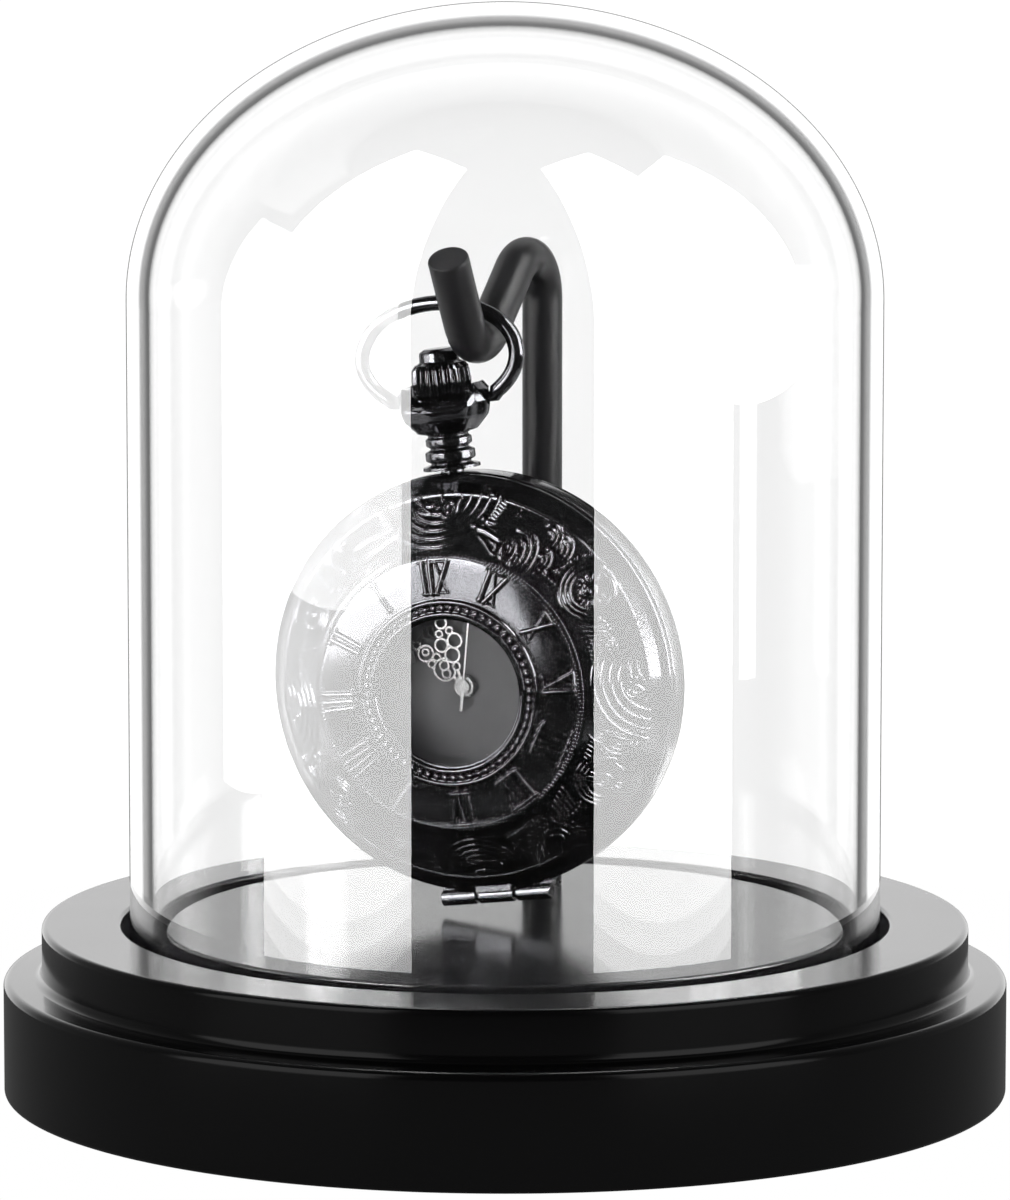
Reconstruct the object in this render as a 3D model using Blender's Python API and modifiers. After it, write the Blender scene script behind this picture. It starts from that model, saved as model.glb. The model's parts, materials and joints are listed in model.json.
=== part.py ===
"""Display dome with a pocket watch: a lacquered base, a bent hook, a glass bell jar and a demi-hunter watch.

Every size below is in millimetres, and place() turns it into Blender's metres. +Z is up, -Y is the front, and
the origin is the middle of the base's underside. The watch is modelled in a frame of its own, which hangs
from the hook: its +X is 3 o'clock, its +Z is 12 o'clock and its -Y is the way the face looks.
"""

import math

import bmesh
import bpy
from mathutils import Vector

MM = 0.001
FIT_GAP = 0.3  # air between two pieces that touch on the real object

# Base
BASE_RADIUS = 53.5
TIER_RADIUS = 49.4
LEDGE_HEIGHT = 12.5
BASE_HEIGHT = 18.2
GROOVE_OUTER_RADIUS = 40.9
PLATFORM_RADIUS = 36.15
GROOVE_FLOOR = 13.2
EDGE_ROUND = 1.2
BOTTOM_ROUND = 0.5
PAD_RADIUS = 50.0
PAD_THICKNESS = 1.0
RIM_LIFT = 0.1  # the base's rim stands this far above the table, on its pad

# Glass
GLASS_RADIUS = 40.0
GLASS_WALL = 2.4
GLASS_SHOULDER = 84.9
GLASS_CAP_RISE = 31.2

# Hook
ROD_RADIUS = 2.2
TAIL_RADIUS = 1.9
TAIL_END = 2.4
POLE_X = 4.1
POLE_Y = 23.4
HOOK_YAW = math.radians(21.3)
TOP_BEND_RADIUS = 5.25
TOP_BEND_START = 82.4
TOP_BEND_TURN = math.radians(128.4)
ARM_LENGTH = 9.3
CRADLE_RADIUS = 5.1
CRADLE_TURN = math.radians(97.1)
TIP_LENGTH = 8.6
NUT_ACROSS_CORNERS = 8.1
NUT_HEIGHT = 3.2
WASHER_RADIUS = 4.8
WASHER_THICKNESS = 0.8
POCKET_RADIUS = 6.2
POCKET_TOP = 8.0

# Watch
WATCH_PLACE = (-2.94, 5.75, 43.3)
WATCH_YAW = math.radians(18.6)
WATCH_LEAN = math.radians(7.2)
WATCH_PITCH = math.radians(0.0)
CASE_RADIUS = 22.6
BAND_HALF_WIDTH = 1.65
BAND_INNER_RADIUS = 21.2
BAND_EDGE = 0.2
LID_SEAM = BAND_HALF_WIDTH + FIT_GAP
COVER_RADIUS = 22.5
BACK_RIM = 2.6  # how far behind the band's middle the back cover starts to curve, and ends
BACK_CREST = 4.8
BACK_THICKNESS = 1.4
BACK_LIP_THICKNESS = 0.6
BACK_LIP_FRONT = 0.9

# Lid
CREST = 9.9  # how far in front of the band's middle the bead ring stands, the front of the watch
WINDOW_RADIUS = 7.9
BEAD_RING_RADII = (8.4, 9.8)
BEAD_RING_RISE = 0.3
NUMERAL_RING_RADII = (10.1, 14.2)
MILLED_RADIUS = 14.9
SLOPE_RADII = (15.2, 20.6)
SLOPE_FALL = (1.1, 5.7)  # how far behind the crest the engraved slope starts and ends
SHOULDER_RADIUS = 21.9
SHOULDER_FALL = 7.1
LID_WALL = 1.0
WINDOW_SEAT_RADIUS = 9.6
WINDOW_SHELF = 0.8
WINDOW_THICKNESS = 0.7

# Dial, movement and what holds them
BEZEL_RADII = (16.9, 20.9)
BEZEL_FRONT = 5.6
BEZEL_BACK = 1.2
CRYSTAL_RADIUS = 16.5
CRYSTAL_THICKNESS = 0.6
DIAL_RADIUS = 16.6
DIAL_HOLE_RADIUS = 0.9
DIAL_FACE = 3.6
DIAL_THICKNESS = 0.4
MOVEMENT_RADIUS = 12.6
MOVEMENT_BACK = -0.3
HOLDER_RADII = (16.3, 20.0)
HOLDER_FLANGE = 0.9
BATTERY_RADIUS = 4.75
BATTERY_THICKNESS = 1.9
BATTERY_PLACE = (-4, 2.5, -4)
POST_RADIUS = 0.4
POST_TOP = 4.4
STEM_RADIUS = 0.6
STEM_BOTTOM = 11.0
STEM_BORE_RADIUS = 0.95
SPRING_RADII = (20.35, 20.75)
SPRING_WIDTH = 1.3
LOCK_SPRING_ANGLES = (55, 84)
LIFT_SPRING_ANGLES = (245, 295)

# Lid hinge
HINGE_RADIUS = 0.85
HINGE_CLEARANCE = 1.15
HINGE_UP = -22.95
HINGE_FORWARD = 1.8
HINGE_LENGTH = 12.4
LID_KNUCKLE_LENGTH = 4.0
LEAF_THICKNESS = 0.9
CASE_LEAF_THICKNESS = 1.35
PIN_RADIUS = 0.35
PIN_BORE_RADIUS = 0.55

# Pendant, crown and bow
PIVOT_UP = 30.2
CUP_RADIUS = 5.2
CUP_TOP = 32.0
SHANK_RADIUS = 1.3
SHANK_HOLE_RADIUS = 1.6
CROWN_RADIUS = 3.25
CROWN_CAP_RADIUS = 2.1
CROWN_BOTTOM = 29.95
CROWN_TOP = 36.0
PRESS_TRAVEL = 0.8  # the crown is pressed in this far to let the lid go
BOW_WIRE_RADIUS = 0.85
BOW_PIVOT_RADIUS = 0.55
BOW_HALF_WIDTH = 8.8
BOW_HALF_HEIGHT = 5.7
BOW_CENTRE_UP = 34.9

BASE_STEPS = 64
GLASS_STEPS = 48
WATCH_STEPS = 40
SMALL_STEPS = 24

FACING_FRONT = (math.pi / 2, 0, 0)  # turns a piece's +Z to the way the watch face looks


def clear_scene():
    for old in list(bpy.context.scene.objects):
        bpy.data.objects.remove(old)


def new_collection(name):
    collection = bpy.data.collections.new(name)
    bpy.context.scene.collection.children.link(collection)
    return collection


def new_material(name, colour, roughness, metallic=0.0, transmission=0.0):
    material = bpy.data.materials.new(name)
    material.use_nodes = True
    shader = material.node_tree.nodes["Principled BSDF"]
    shader.inputs["Base Color"].default_value = (*colour, 1)
    shader.inputs["Roughness"].default_value = roughness
    shader.inputs["Metallic"].default_value = metallic
    shader.inputs["Transmission Weight"].default_value = transmission
    return material


def place(obj, material, parent=None, at=(0, 0, 0), turn=(0, 0, 0), into=None):
    """Puts an object into its collection, under its parent, at a point in millimetres."""
    (into or PARTS).objects.link(obj)
    obj.location = Vector(at) * MM
    obj.rotation_euler = turn
    obj.parent = parent
    if material:
        obj.data.materials.append(material)
    if obj.type == "MESH":
        obj.data.shade_smooth()
        obj.data.set_sharp_from_angle(angle=math.radians(35))
    return obj


def cutter(obj):
    obj.hide_render = True
    obj.display_type = "WIRE"
    return obj


def boolean(target, tool, operation):
    modifier = target.modifiers.new(tool.name, "BOOLEAN")
    modifier.object = tool
    modifier.operation = operation


def turned(name, outline, closed, steps, **where):
    """A piece turned about its own Z: outline is (radius, height) points down its outer side."""
    mesh = bpy.data.meshes.new(name)
    edges = [(i, i + 1) for i in range(len(outline) - 1)]
    if closed:
        edges.append((len(outline) - 1, 0))
    mesh.from_pydata([(r * MM, 0, z * MM) for r, z in outline], edges, [])
    obj = bpy.data.objects.new(name, mesh)
    place(obj, where.pop("material", None), **where)
    screw = obj.modifiers.new("turn", "SCREW")
    screw.steps = steps
    screw.render_steps = steps
    screw.use_merge_vertices = True
    screw.merge_threshold = 0.00001
    screw.use_smooth_shade = True
    return obj


def rod(name, radius, length, sides=SMALL_STEPS, **where):
    """A plain cylinder from z = 0 to z = length."""
    return primitive(
        name,
        lambda mesh: bmesh.ops.create_cone(
            mesh, cap_ends=True, segments=sides, radius1=radius * MM, radius2=radius * MM, depth=length * MM
        ),
        (0, 0, length / 2),
        **where,
    )


def block(name, low, high, **where):
    """A box between two corners."""
    size = [b - a for a, b in zip(low, high)]
    middle = [(a + b) / 2 for a, b in zip(low, high)]

    def build(mesh):
        bmesh.ops.create_cube(mesh, size=1)
        bmesh.ops.scale(mesh, vec=Vector(size) * MM, verts=mesh.verts)

    return primitive(name, build, middle, **where)


def primitive(name, build, middle, **where):
    mesh = bmesh.new()
    build(mesh)
    bmesh.ops.translate(mesh, vec=Vector(middle) * MM, verts=mesh.verts)
    data = bpy.data.meshes.new(name)
    mesh.to_mesh(data)
    mesh.free()
    return place(bpy.data.objects.new(name, data), where.pop("material", None), **where)


def wire(name, points, radius, radii=None, bevel_resolution=4, **where):
    """A round bar along points; radii scales it point by point."""
    curve = bpy.data.curves.new(name, "CURVE")
    curve.dimensions = "3D"
    curve.bevel_depth = radius * MM
    curve.bevel_resolution = bevel_resolution
    curve.use_fill_caps = True
    spline = curve.splines.new("POLY")
    spline.points.add(len(points) - 1)
    for i, point in enumerate(points):
        spline.points[i].co = (*(Vector(point) * MM), 1)
        spline.points[i].radius = radii[i] if radii else 1
    return place(bpy.data.objects.new(name, curve), where.pop("material", None), **where)


def flat_shape(name, outlines, thickness, **where):
    """A flat plate in its own XY plane, from z = 0 to z = thickness; outlines after the first are holes."""
    curve = bpy.data.curves.new(name, "CURVE")
    curve.dimensions = "2D"
    curve.fill_mode = "BOTH"
    curve.extrude = thickness / 2 * MM
    for outline in outlines:
        spline = curve.splines.new("POLY")
        spline.points.add(len(outline) - 1)
        spline.use_cyclic_u = True
        for i, (x, y) in enumerate(outline):
            spline.points[i].co = (x * MM, y * MM, thickness / 2 * MM, 1)
    return place(bpy.data.objects.new(name, curve), where.pop("material", None), **where)


def arc(centre, radius, start, end, steps):
    """Points of an arc from the angle start to the angle end, in degrees."""
    angles = [math.radians(start + (end - start) * i / steps) for i in range(steps + 1)]
    return [(centre[0] + radius * math.cos(a), centre[1] + radius * math.sin(a)) for a in angles]


def ring_sector(inner, outer, start, end, steps):
    """The outline of part of a flat ring, between two angles in degrees."""
    return arc((0, 0), outer, start, end, steps) + arc((0, 0), inner, end, start, steps)


# ---------------------------------------------------------------- the display stand


def base_outline():
    small = 0.4  # rounding of the groove's two edges
    cove = 0.9
    recess = PAD_THICKNESS + FIT_GAP
    return (
        [(0, BASE_HEIGHT)]
        + arc((PLATFORM_RADIUS - small, BASE_HEIGHT - small), small, 90, 0, 2)
        + [(PLATFORM_RADIUS, GROOVE_FLOOR), (GROOVE_OUTER_RADIUS, GROOVE_FLOOR)]
        + arc((GROOVE_OUTER_RADIUS + small, BASE_HEIGHT - small), small, 180, 90, 2)
        + arc((TIER_RADIUS - EDGE_ROUND, BASE_HEIGHT - EDGE_ROUND), EDGE_ROUND, 90, 0, 3)
        + arc((TIER_RADIUS + cove, LEDGE_HEIGHT + cove), cove, 180, 270, 3)
        + arc((BASE_RADIUS - EDGE_ROUND, LEDGE_HEIGHT - EDGE_ROUND), EDGE_ROUND, 90, 0, 3)
        + arc((BASE_RADIUS - BOTTOM_ROUND, RIM_LIFT + BOTTOM_ROUND), BOTTOM_ROUND, 0, -90, 3)
        + [(PAD_RADIUS + FIT_GAP, RIM_LIFT), (PAD_RADIUS + FIT_GAP, recess), (0, recess)]
    )


def make_base():
    base = turned("base_body", base_outline(), False, BASE_STEPS, material=LACQUER)
    pole = (POLE_X, POLE_Y, 0)
    hole = cutter(rod("rod_hole", TAIL_RADIUS + FIT_GAP, BASE_HEIGHT + 2, at=pole, into=CUTTERS))
    pocket = cutter(rod("nut_pocket", POCKET_RADIUS, POCKET_TOP, at=pole, into=CUTTERS))
    boolean(base, hole, "DIFFERENCE")
    boolean(base, pocket, "DIFFERENCE")
    rod("base_pad", PAD_RADIUS, PAD_THICKNESS, sides=BASE_STEPS, material=FELT)


def hook_path():
    """The hook's centre line as (distance from the pole, height), and how thick it is at each point."""
    shoulder = BASE_HEIGHT + FIT_GAP
    middle = (shoulder + TOP_BEND_START) / 2
    path = [(0, TAIL_END), (0, shoulder - 0.05), (0, shoulder), (0, middle), (0, TOP_BEND_START)]
    thin = TAIL_RADIUS / ROD_RADIUS
    thickness = [thin, thin, 1, 1, 1]
    steps = 10
    for i in range(1, steps + 1):
        turn = TOP_BEND_TURN * i / steps
        path.append(
            (TOP_BEND_RADIUS * (1 - math.cos(turn)), TOP_BEND_START + TOP_BEND_RADIUS * math.sin(turn))
        )
    dip = TOP_BEND_TURN - math.pi / 2  # how steeply the arm runs down
    arm_end = (path[-1][0] + ARM_LENGTH * math.cos(dip), path[-1][1] - ARM_LENGTH * math.sin(dip))
    centre = (arm_end[0] + CRADLE_RADIUS * math.sin(dip), arm_end[1] + CRADLE_RADIUS * math.cos(dip))
    for i in range(steps + 1):
        heading = CRADLE_TURN * i / steps - dip
        path.append(
            (centre[0] + CRADLE_RADIUS * math.sin(heading), centre[1] - CRADLE_RADIUS * math.cos(heading))
        )
    rise = CRADLE_TURN - dip
    path.append((path[-1][0] + TIP_LENGTH * math.cos(rise), path[-1][1] + TIP_LENGTH * math.sin(rise)))
    return path, thickness + [1] * (len(path) - len(thickness))


def make_hook():
    path, thickness = hook_path()
    points = [
        (POLE_X - out * math.sin(HOOK_YAW), POLE_Y - out * math.cos(HOOK_YAW), height)
        for out, height in path
    ]
    wire("hook_rod", points, ROD_RADIUS, thickness, material=SATIN_BLACK)
    pole = (POLE_X, POLE_Y, 0)
    washer_bottom = POCKET_TOP - FIT_GAP - WASHER_THICKNESS
    nut_bottom = washer_bottom - FIT_GAP - NUT_HEIGHT
    hole = TAIL_RADIUS + FIT_GAP
    washer = [(hole, 0), (hole, WASHER_THICKNESS), (WASHER_RADIUS, WASHER_THICKNESS), (WASHER_RADIUS, 0)]
    turned("hook_washer", washer, True, SMALL_STEPS, at=(POLE_X, POLE_Y, washer_bottom), material=STEEL)
    nut = rod("hook_nut", NUT_ACROSS_CORNERS / 2, NUT_HEIGHT, sides=6, at=(POLE_X, POLE_Y, nut_bottom),
              material=STEEL)
    bore = cutter(rod("nut_bore", hole, POCKET_TOP, at=pole, into=CUTTERS))
    boolean(nut, bore, "DIFFERENCE")


def make_glass():
    foot = GROOVE_FLOOR + FIT_GAP
    inner = GLASS_RADIUS - GLASS_WALL
    steps = 9

    def cap(radius, rise):
        angles = [math.pi / 2 * i / steps for i in range(steps + 1)]
        return [(radius * math.sin(a), GLASS_SHOULDER + rise * math.cos(a)) for a in angles]

    lip = GLASS_WALL / 2
    outside = cap(GLASS_RADIUS, GLASS_CAP_RISE)
    foot_round = arc((GLASS_RADIUS - lip, foot + lip), lip, 0, -180, 4)
    inside = cap(inner, GLASS_CAP_RISE - GLASS_WALL)
    turned("glass_dome", outside + foot_round + inside[::-1], False, GLASS_STEPS, material=GLASS)


# ---------------------------------------------------------------- the watch


def facing(name, outline, closed=True, steps=WATCH_STEPS, **where):
    """A watch piece turned about the axis of the hands; its heights are distances in front of the band."""
    return turned(name, outline, closed, steps, parent=WATCH, turn=FACING_FRONT, **where)


def across(name, radius, half_length, middle=0.0, **where):
    """A cylinder along the lid hinge."""
    return rod(name, radius, half_length * 2, sides=16, parent=WATCH, turn=(0, math.pi / 2, 0),
               at=(middle - half_length, -HINGE_FORWARD, HINGE_UP), **where)


def pinwards(name, radius, low, high, **where):
    """A cylinder along the winding stem, between two heights."""
    return rod(name, radius, high - low, sides=16, parent=WATCH, at=(0, 0, low), **where)


def make_case():
    edge = BAND_EDGE
    band = facing(
        "case_band",
        [
            (BAND_INNER_RADIUS, BAND_HALF_WIDTH),
            (CASE_RADIUS - edge, BAND_HALF_WIDTH),
            (CASE_RADIUS, BAND_HALF_WIDTH - edge),
            (CASE_RADIUS, -BAND_HALF_WIDTH + edge),
            (CASE_RADIUS - edge, -BAND_HALF_WIDTH),
            (BAND_INNER_RADIUS, -BAND_HALF_WIDTH),
        ],
        material=GUNMETAL,
    )
    hole = pinwards("pendant_hole", SHANK_HOLE_RADIUS, BAND_INNER_RADIUS - 1, CASE_RADIUS + 1, into=CUTTERS)
    boolean(band, cutter(hole), "DIFFERENCE")
    clear = LID_KNUCKLE_LENGTH / 2 + FIT_GAP
    boolean(band, cutter(across("lid_knuckle_space", HINGE_CLEARANCE, clear, into=CUTTERS)), "DIFFERENCE")
    half = (HINGE_LENGTH / 2 - clear) / 2
    band_middle = (BAND_INNER_RADIUS + CASE_RADIUS) / 2
    leaf_front = -BAND_HALF_WIDTH + 0.05
    for side, name in ((-1, "left"), (1, "right")):
        offset = side * (clear + half)
        knuckle = across(f"case_knuckle_{name}", HINGE_RADIUS, half, offset, into=CUTTERS)
        leaf = block(
            f"case_leaf_{name}",
            (offset - half, leaf_front, HINGE_UP),
            (offset + half, leaf_front + CASE_LEAF_THICKNESS, -band_middle),
            parent=WATCH,
            into=CUTTERS,
        )
        boolean(band, cutter(knuckle), "UNION")
        boolean(band, cutter(leaf), "UNION")
    boolean(band, cutter(across("case_pin_bore", PIN_BORE_RADIUS, HINGE_LENGTH, into=CUTTERS)), "DIFFERENCE")
    across("hinge_pin", PIN_RADIUS, HINGE_LENGTH / 2, material=GUNMETAL)


def crowned(radius, rim, crest, steps=5):
    """Points of a shallow dome from its rim to its middle, closer together near the rim."""
    power = 6  # a nearly flat middle with a quick fall at the rim
    shares = [1 - (i / steps) ** 2 for i in range(steps + 1)]
    return [(radius * share, -(rim + (crest - rim) * (1 - share**power))) for share in shares]


def make_back_cover():
    """A shallow dome with a lip that presses into the band."""
    lip_outer = BAND_INNER_RADIUS - FIT_GAP
    lip_inner = lip_outer - BACK_LIP_THICKNESS
    outside = crowned(COVER_RADIUS, BACK_RIM, BACK_CREST)
    inside = crowned(lip_inner, BACK_RIM - FIT_GAP, BACK_CREST - BACK_THICKNESS)
    lip = [(lip_inner, -BACK_LIP_FRONT), (lip_outer, -BACK_LIP_FRONT), (lip_outer, -LID_SEAM)]
    facing("back_cover", lip + [(COVER_RADIUS, -LID_SEAM)] + outside + inside[::-1], material=GUNMETAL)


def lid_outline():
    numerals = CREST - BEAD_RING_RISE
    outside = [
        (WINDOW_RADIUS, numerals),
        (BEAD_RING_RADII[0], CREST),
        (BEAD_RING_RADII[1], CREST),
        (NUMERAL_RING_RADII[0], numerals),
        (NUMERAL_RING_RADII[1], numerals - 0.2),
        (MILLED_RADIUS, CREST - SLOPE_FALL[0] + 0.2),
    ]
    slope_steps = 3
    for i in range(slope_steps + 1):
        share = i / slope_steps
        radius = SLOPE_RADII[0] + (SLOPE_RADII[1] - SLOPE_RADII[0]) * share
        fall = SLOPE_FALL[0] + (SLOPE_FALL[1] - SLOPE_FALL[0]) * share
        outside.append((radius, CREST - fall))
    outside += [
        (SHOULDER_RADIUS, CREST - SHOULDER_FALL),
        (COVER_RADIUS, LID_SEAM + 0.2),
        (COVER_RADIUS, LID_SEAM),
    ]
    roof = numerals - LID_WALL - BEAD_RING_RISE
    lean_in = LID_WALL * 0.75  # the wall's thickness, measured level, where the lid slopes
    inside = [
        (COVER_RADIUS - LID_WALL, LID_SEAM),
        (SHOULDER_RADIUS - lean_in, CREST - SHOULDER_FALL - LID_WALL / 2),
        (SLOPE_RADII[1] - lean_in, CREST - SLOPE_FALL[1] - LID_WALL / 2),
        (MILLED_RADIUS, roof),
        (WINDOW_SEAT_RADIUS, roof),
        (WINDOW_SEAT_RADIUS, CREST - WINDOW_SHELF),
        (WINDOW_RADIUS, CREST - WINDOW_SHELF),
    ]
    return outside + inside


def make_lid():
    lid = facing("lid", lid_outline(), material=GUNMETAL)
    half_knuckle = LID_KNUCKLE_LENGTH / 2
    half_space = HINGE_LENGTH / 4 - half_knuckle / 2 + FIT_GAP / 2
    for side, name in ((-1, "left"), (1, "right")):
        middle = side * (half_knuckle + half_space)
        space = across(f"case_knuckle_space_{name}", HINGE_CLEARANCE, half_space, middle, into=CUTTERS)
        boolean(lid, cutter(space), "DIFFERENCE")
    leaf_back = -LID_SEAM - 0.05
    leaf = block(
        "lid_leaf",
        (-half_knuckle, leaf_back - LEAF_THICKNESS, HINGE_UP),
        (half_knuckle, leaf_back, -COVER_RADIUS + LID_WALL - 0.2),
        parent=WATCH,
        into=CUTTERS,
    )
    boolean(lid, cutter(across("lid_knuckle", HINGE_RADIUS, half_knuckle, into=CUTTERS)), "UNION")
    boolean(lid, cutter(leaf), "UNION")
    boolean(lid, cutter(across("lid_pin_bore", PIN_BORE_RADIUS, HINGE_LENGTH, into=CUTTERS)), "DIFFERENCE")
    front = CREST - WINDOW_SHELF - FIT_GAP
    edge = WINDOW_SEAT_RADIUS - FIT_GAP
    facing(
        "lid_window",
        [(0, front), (edge, front), (edge, front - WINDOW_THICKNESS), (0, front - WINDOW_THICKNESS)],
        closed=False,
        steps=SMALL_STEPS,
        material=GLASS,
    )


def make_dial_group():
    """The inner bezel with its crystal, and the dial on a ledge behind them."""
    inner, outer = BEZEL_RADII
    ledge = BEZEL_FRONT - CRYSTAL_THICKNESS - FIT_GAP
    lip = inner - 1
    facing(
        "dial_bezel",
        [
            (inner - 0.1, BEZEL_FRONT),
            (inner + FIT_GAP, BEZEL_FRONT - 0.1),
            (outer - 0.7, LID_SEAM + 0.95),
            (outer, LID_SEAM - 0.05),
            (outer, BEZEL_BACK),
            (inner, BEZEL_BACK),
            (inner, DIAL_FACE + FIT_GAP),
            (lip, DIAL_FACE + FIT_GAP),
            (lip, ledge),
            (inner - 0.1, ledge),
        ],
        material=GUNMETAL,
    )
    crystal_back = BEZEL_FRONT - CRYSTAL_THICKNESS
    facing(
        "dial_crystal",
        [(0, BEZEL_FRONT), (CRYSTAL_RADIUS, BEZEL_FRONT), (CRYSTAL_RADIUS, crystal_back), (0, crystal_back)],
        closed=False,
        material=GLASS,
    )
    bottom = DIAL_FACE - DIAL_THICKNESS
    facing(
        "dial",
        [
            (DIAL_HOLE_RADIUS, DIAL_FACE),
            (DIAL_RADIUS, DIAL_FACE),
            (DIAL_RADIUS, bottom),
            (DIAL_HOLE_RADIUS, bottom),
        ],
        material=DIAL_PAINT,
    )


def stem_bore(target):
    bottom = STEM_BOTTOM - PRESS_TRAVEL - FIT_GAP
    bore = pinwards(f"{target.name}_stem_bore", STEM_BORE_RADIUS, bottom, BAND_INNER_RADIUS, into=CUTTERS)
    boolean(target, cutter(bore), "DIFFERENCE")


def make_movement():
    """The movement in its plastic ring, with its battery behind and two springs in the band."""
    top = DIAL_FACE - DIAL_THICKNESS - FIT_GAP
    inner = MOVEMENT_RADIUS + FIT_GAP + 0.1
    drum, flange = HOLDER_RADII
    holder = facing(
        "movement_ring",
        [
            (inner, top),
            (drum, top),
            (drum, HOLDER_FLANGE),
            (flange, HOLDER_FLANGE),
            (flange, -HOLDER_FLANGE),
            (inner, -HOLDER_FLANGE),
        ],
        material=PLASTIC,
    )
    stem_bore(holder)
    movement = facing(
        "movement",
        [
            (0, POST_TOP),
            (POST_RADIUS, POST_TOP),
            (POST_RADIUS, top),
            (MOVEMENT_RADIUS, top),
            (MOVEMENT_RADIUS, MOVEMENT_BACK),
            (0, MOVEMENT_BACK),
        ],
        closed=False,
        steps=SMALL_STEPS,
        material=STEEL,
    )
    stem_bore(movement)
    rod("battery", BATTERY_RADIUS, BATTERY_THICKNESS, parent=WATCH, turn=FACING_FRONT, at=BATTERY_PLACE,
        material=STEEL)
    for name, angles in (("lock_spring", LOCK_SPRING_ANGLES), ("lift_spring", LIFT_SPRING_ANGLES)):
        outline = ring_sector(*SPRING_RADII, *angles, 8)
        flat_shape(name, [outline], SPRING_WIDTH, parent=WATCH, turn=FACING_FRONT, at=(0, 0.5, 0),
                   material=STEEL)


def hand_outlines(length, tail, hub, hole, width):
    """A hand that points along +Y: a round hub, a tapering blade and a short tail."""
    half = width / 2
    side = math.degrees(math.asin(half / hub))
    right = arc((0, 0), hub, -90 + side, 90 - side, 8)
    left = arc((0, 0), hub, 90 + side, 270 - side, 8)
    outline = right + [(half, length * 0.75), (0, length), (-half, length * 0.75)]
    outline += left + [(-half, -tail), (half, -tail)]
    holes = [arc((0, 0), hole, 0, 330, 11)] if hole else []
    return [outline] + holes


def make_hands():
    """Three hands one above the other; the angles are turned back from 12 o'clock, in degrees."""
    hole = POST_RADIUS + 0.2
    for name, length, tail, hub, bore, width, rise, thickness, angle in (
        ("hour_hand", 7.6, 1.2, 1.3, hole, 0.7, 0.25, 0.15, 46),
        ("minute_hand", 11.2, 1.4, 1.2, hole, 0.6, 0.6, 0.15, 14),
        ("seconds_hand", 11.8, 2.6, 0.7, None, 0.25, 0.92, 0.12, -12),
    ):
        flat_shape(
            name,
            hand_outlines(length, tail, hub, bore, width),
            thickness,
            parent=WATCH,
            turn=(math.pi / 2, -math.radians(angle), 0),
            at=(0, -DIAL_FACE - rise, 0),
            material=HANDS,
        )


def pendant_outline():
    """A shank in the band, a neck with two bead rings, and a cup round the crown's foot."""
    recess = CROWN_RADIUS + FIT_GAP + 0.1
    floor = CROWN_BOTTOM - PRESS_TRAVEL - FIT_GAP
    foot = CASE_RADIUS + FIT_GAP + 0.05
    bottom = BAND_INNER_RADIUS - 0.15
    outside = [
        (recess, CUP_TOP),
        (4.4, CUP_TOP),
        (5.1, CUP_TOP - 0.9),
        (CUP_RADIUS, CUP_TOP - 2),
        (4.8, 28.4),
        (3.4, 27),
        (2, 26.6),
    ]
    for middle, radius in ((25.9, 2.5), (24.4, 2.7)):
        outside += [(radius - 0.1, middle + 0.4), (radius, middle), (radius - 0.1, middle - 0.5)]
        outside.append((2, middle - 0.75))
    outside += [(3.1, foot + 0.35), (3.1, foot), (SHANK_RADIUS, foot), (SHANK_RADIUS, bottom)]
    return outside + [(STEM_BORE_RADIUS, bottom), (STEM_BORE_RADIUS, floor), (recess, floor)]


def make_pendant():
    pendant = turned("pendant", pendant_outline(), True, SMALL_STEPS, parent=WATCH, material=GUNMETAL)
    half = CUP_RADIUS + 1
    holes = rod("bow_holes", BOW_PIVOT_RADIUS + 0.25, 2 * half, sides=16, parent=WATCH,
                turn=(0, math.pi / 2, 0), at=(-half, 0, PIVOT_UP), into=CUTTERS)
    boolean(pendant, cutter(holes), "DIFFERENCE")
    pinwards("stem", STEM_RADIUS, STEM_BOTTOM, CROWN_BOTTOM - FIT_GAP, material=STEEL)


def make_crown():
    knurl = (31.5, 33.8)  # the ribbed grip's lower and upper end
    turned(
        "crown",
        [
            (0, CROWN_TOP),
            (CROWN_CAP_RADIUS - 0.5, CROWN_TOP),
            (CROWN_CAP_RADIUS, CROWN_TOP - 0.3),
            (CROWN_CAP_RADIUS, knurl[1] + 0.6),
            (CROWN_RADIUS - 0.35, knurl[1] + 0.45),
            (CROWN_RADIUS, knurl[1]),
            (CROWN_RADIUS, knurl[0]),
            (CROWN_RADIUS - 0.45, knurl[0] - 0.9),
            (2 * STEM_RADIUS, CROWN_BOTTOM),
            (0, CROWN_BOTTOM),
        ],
        False,
        SMALL_STEPS,
        parent=WATCH,
        material=GUNMETAL,
    )


def bow_path():
    """The bow's centre line in the watch's XZ plane: a pivot at each end, and an oval between them."""
    pivot = [(CROWN_RADIUS + 0.65, PIVOT_UP), (CUP_RADIUS + 0.1, PIVOT_UP)]
    start = math.degrees(math.asin((CUP_RADIUS + 0.9) / BOW_HALF_WIDTH))
    steps = 26
    oval = []
    for i in range(steps + 1):
        angle = math.radians(start + (360 - 2 * start) * i / steps)
        oval.append((BOW_HALF_WIDTH * math.sin(angle), BOW_CENTRE_UP - BOW_HALF_HEIGHT * math.cos(angle)))
    return pivot + oval + [(-x, z) for x, z in pivot[::-1]]


def make_bow():
    path = bow_path()
    thin = BOW_PIVOT_RADIUS / BOW_WIRE_RADIUS
    radii = [thin, thin] + [1] * (len(path) - 4) + [thin, thin]
    wire("bow", [(x, 0, z) for x, z in path], BOW_WIRE_RADIUS, radii, 3, parent=WATCH, material=GUNMETAL)


clear_scene()
PARTS = new_collection("display_dome")
CUTTERS = new_collection("cutters")

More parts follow.
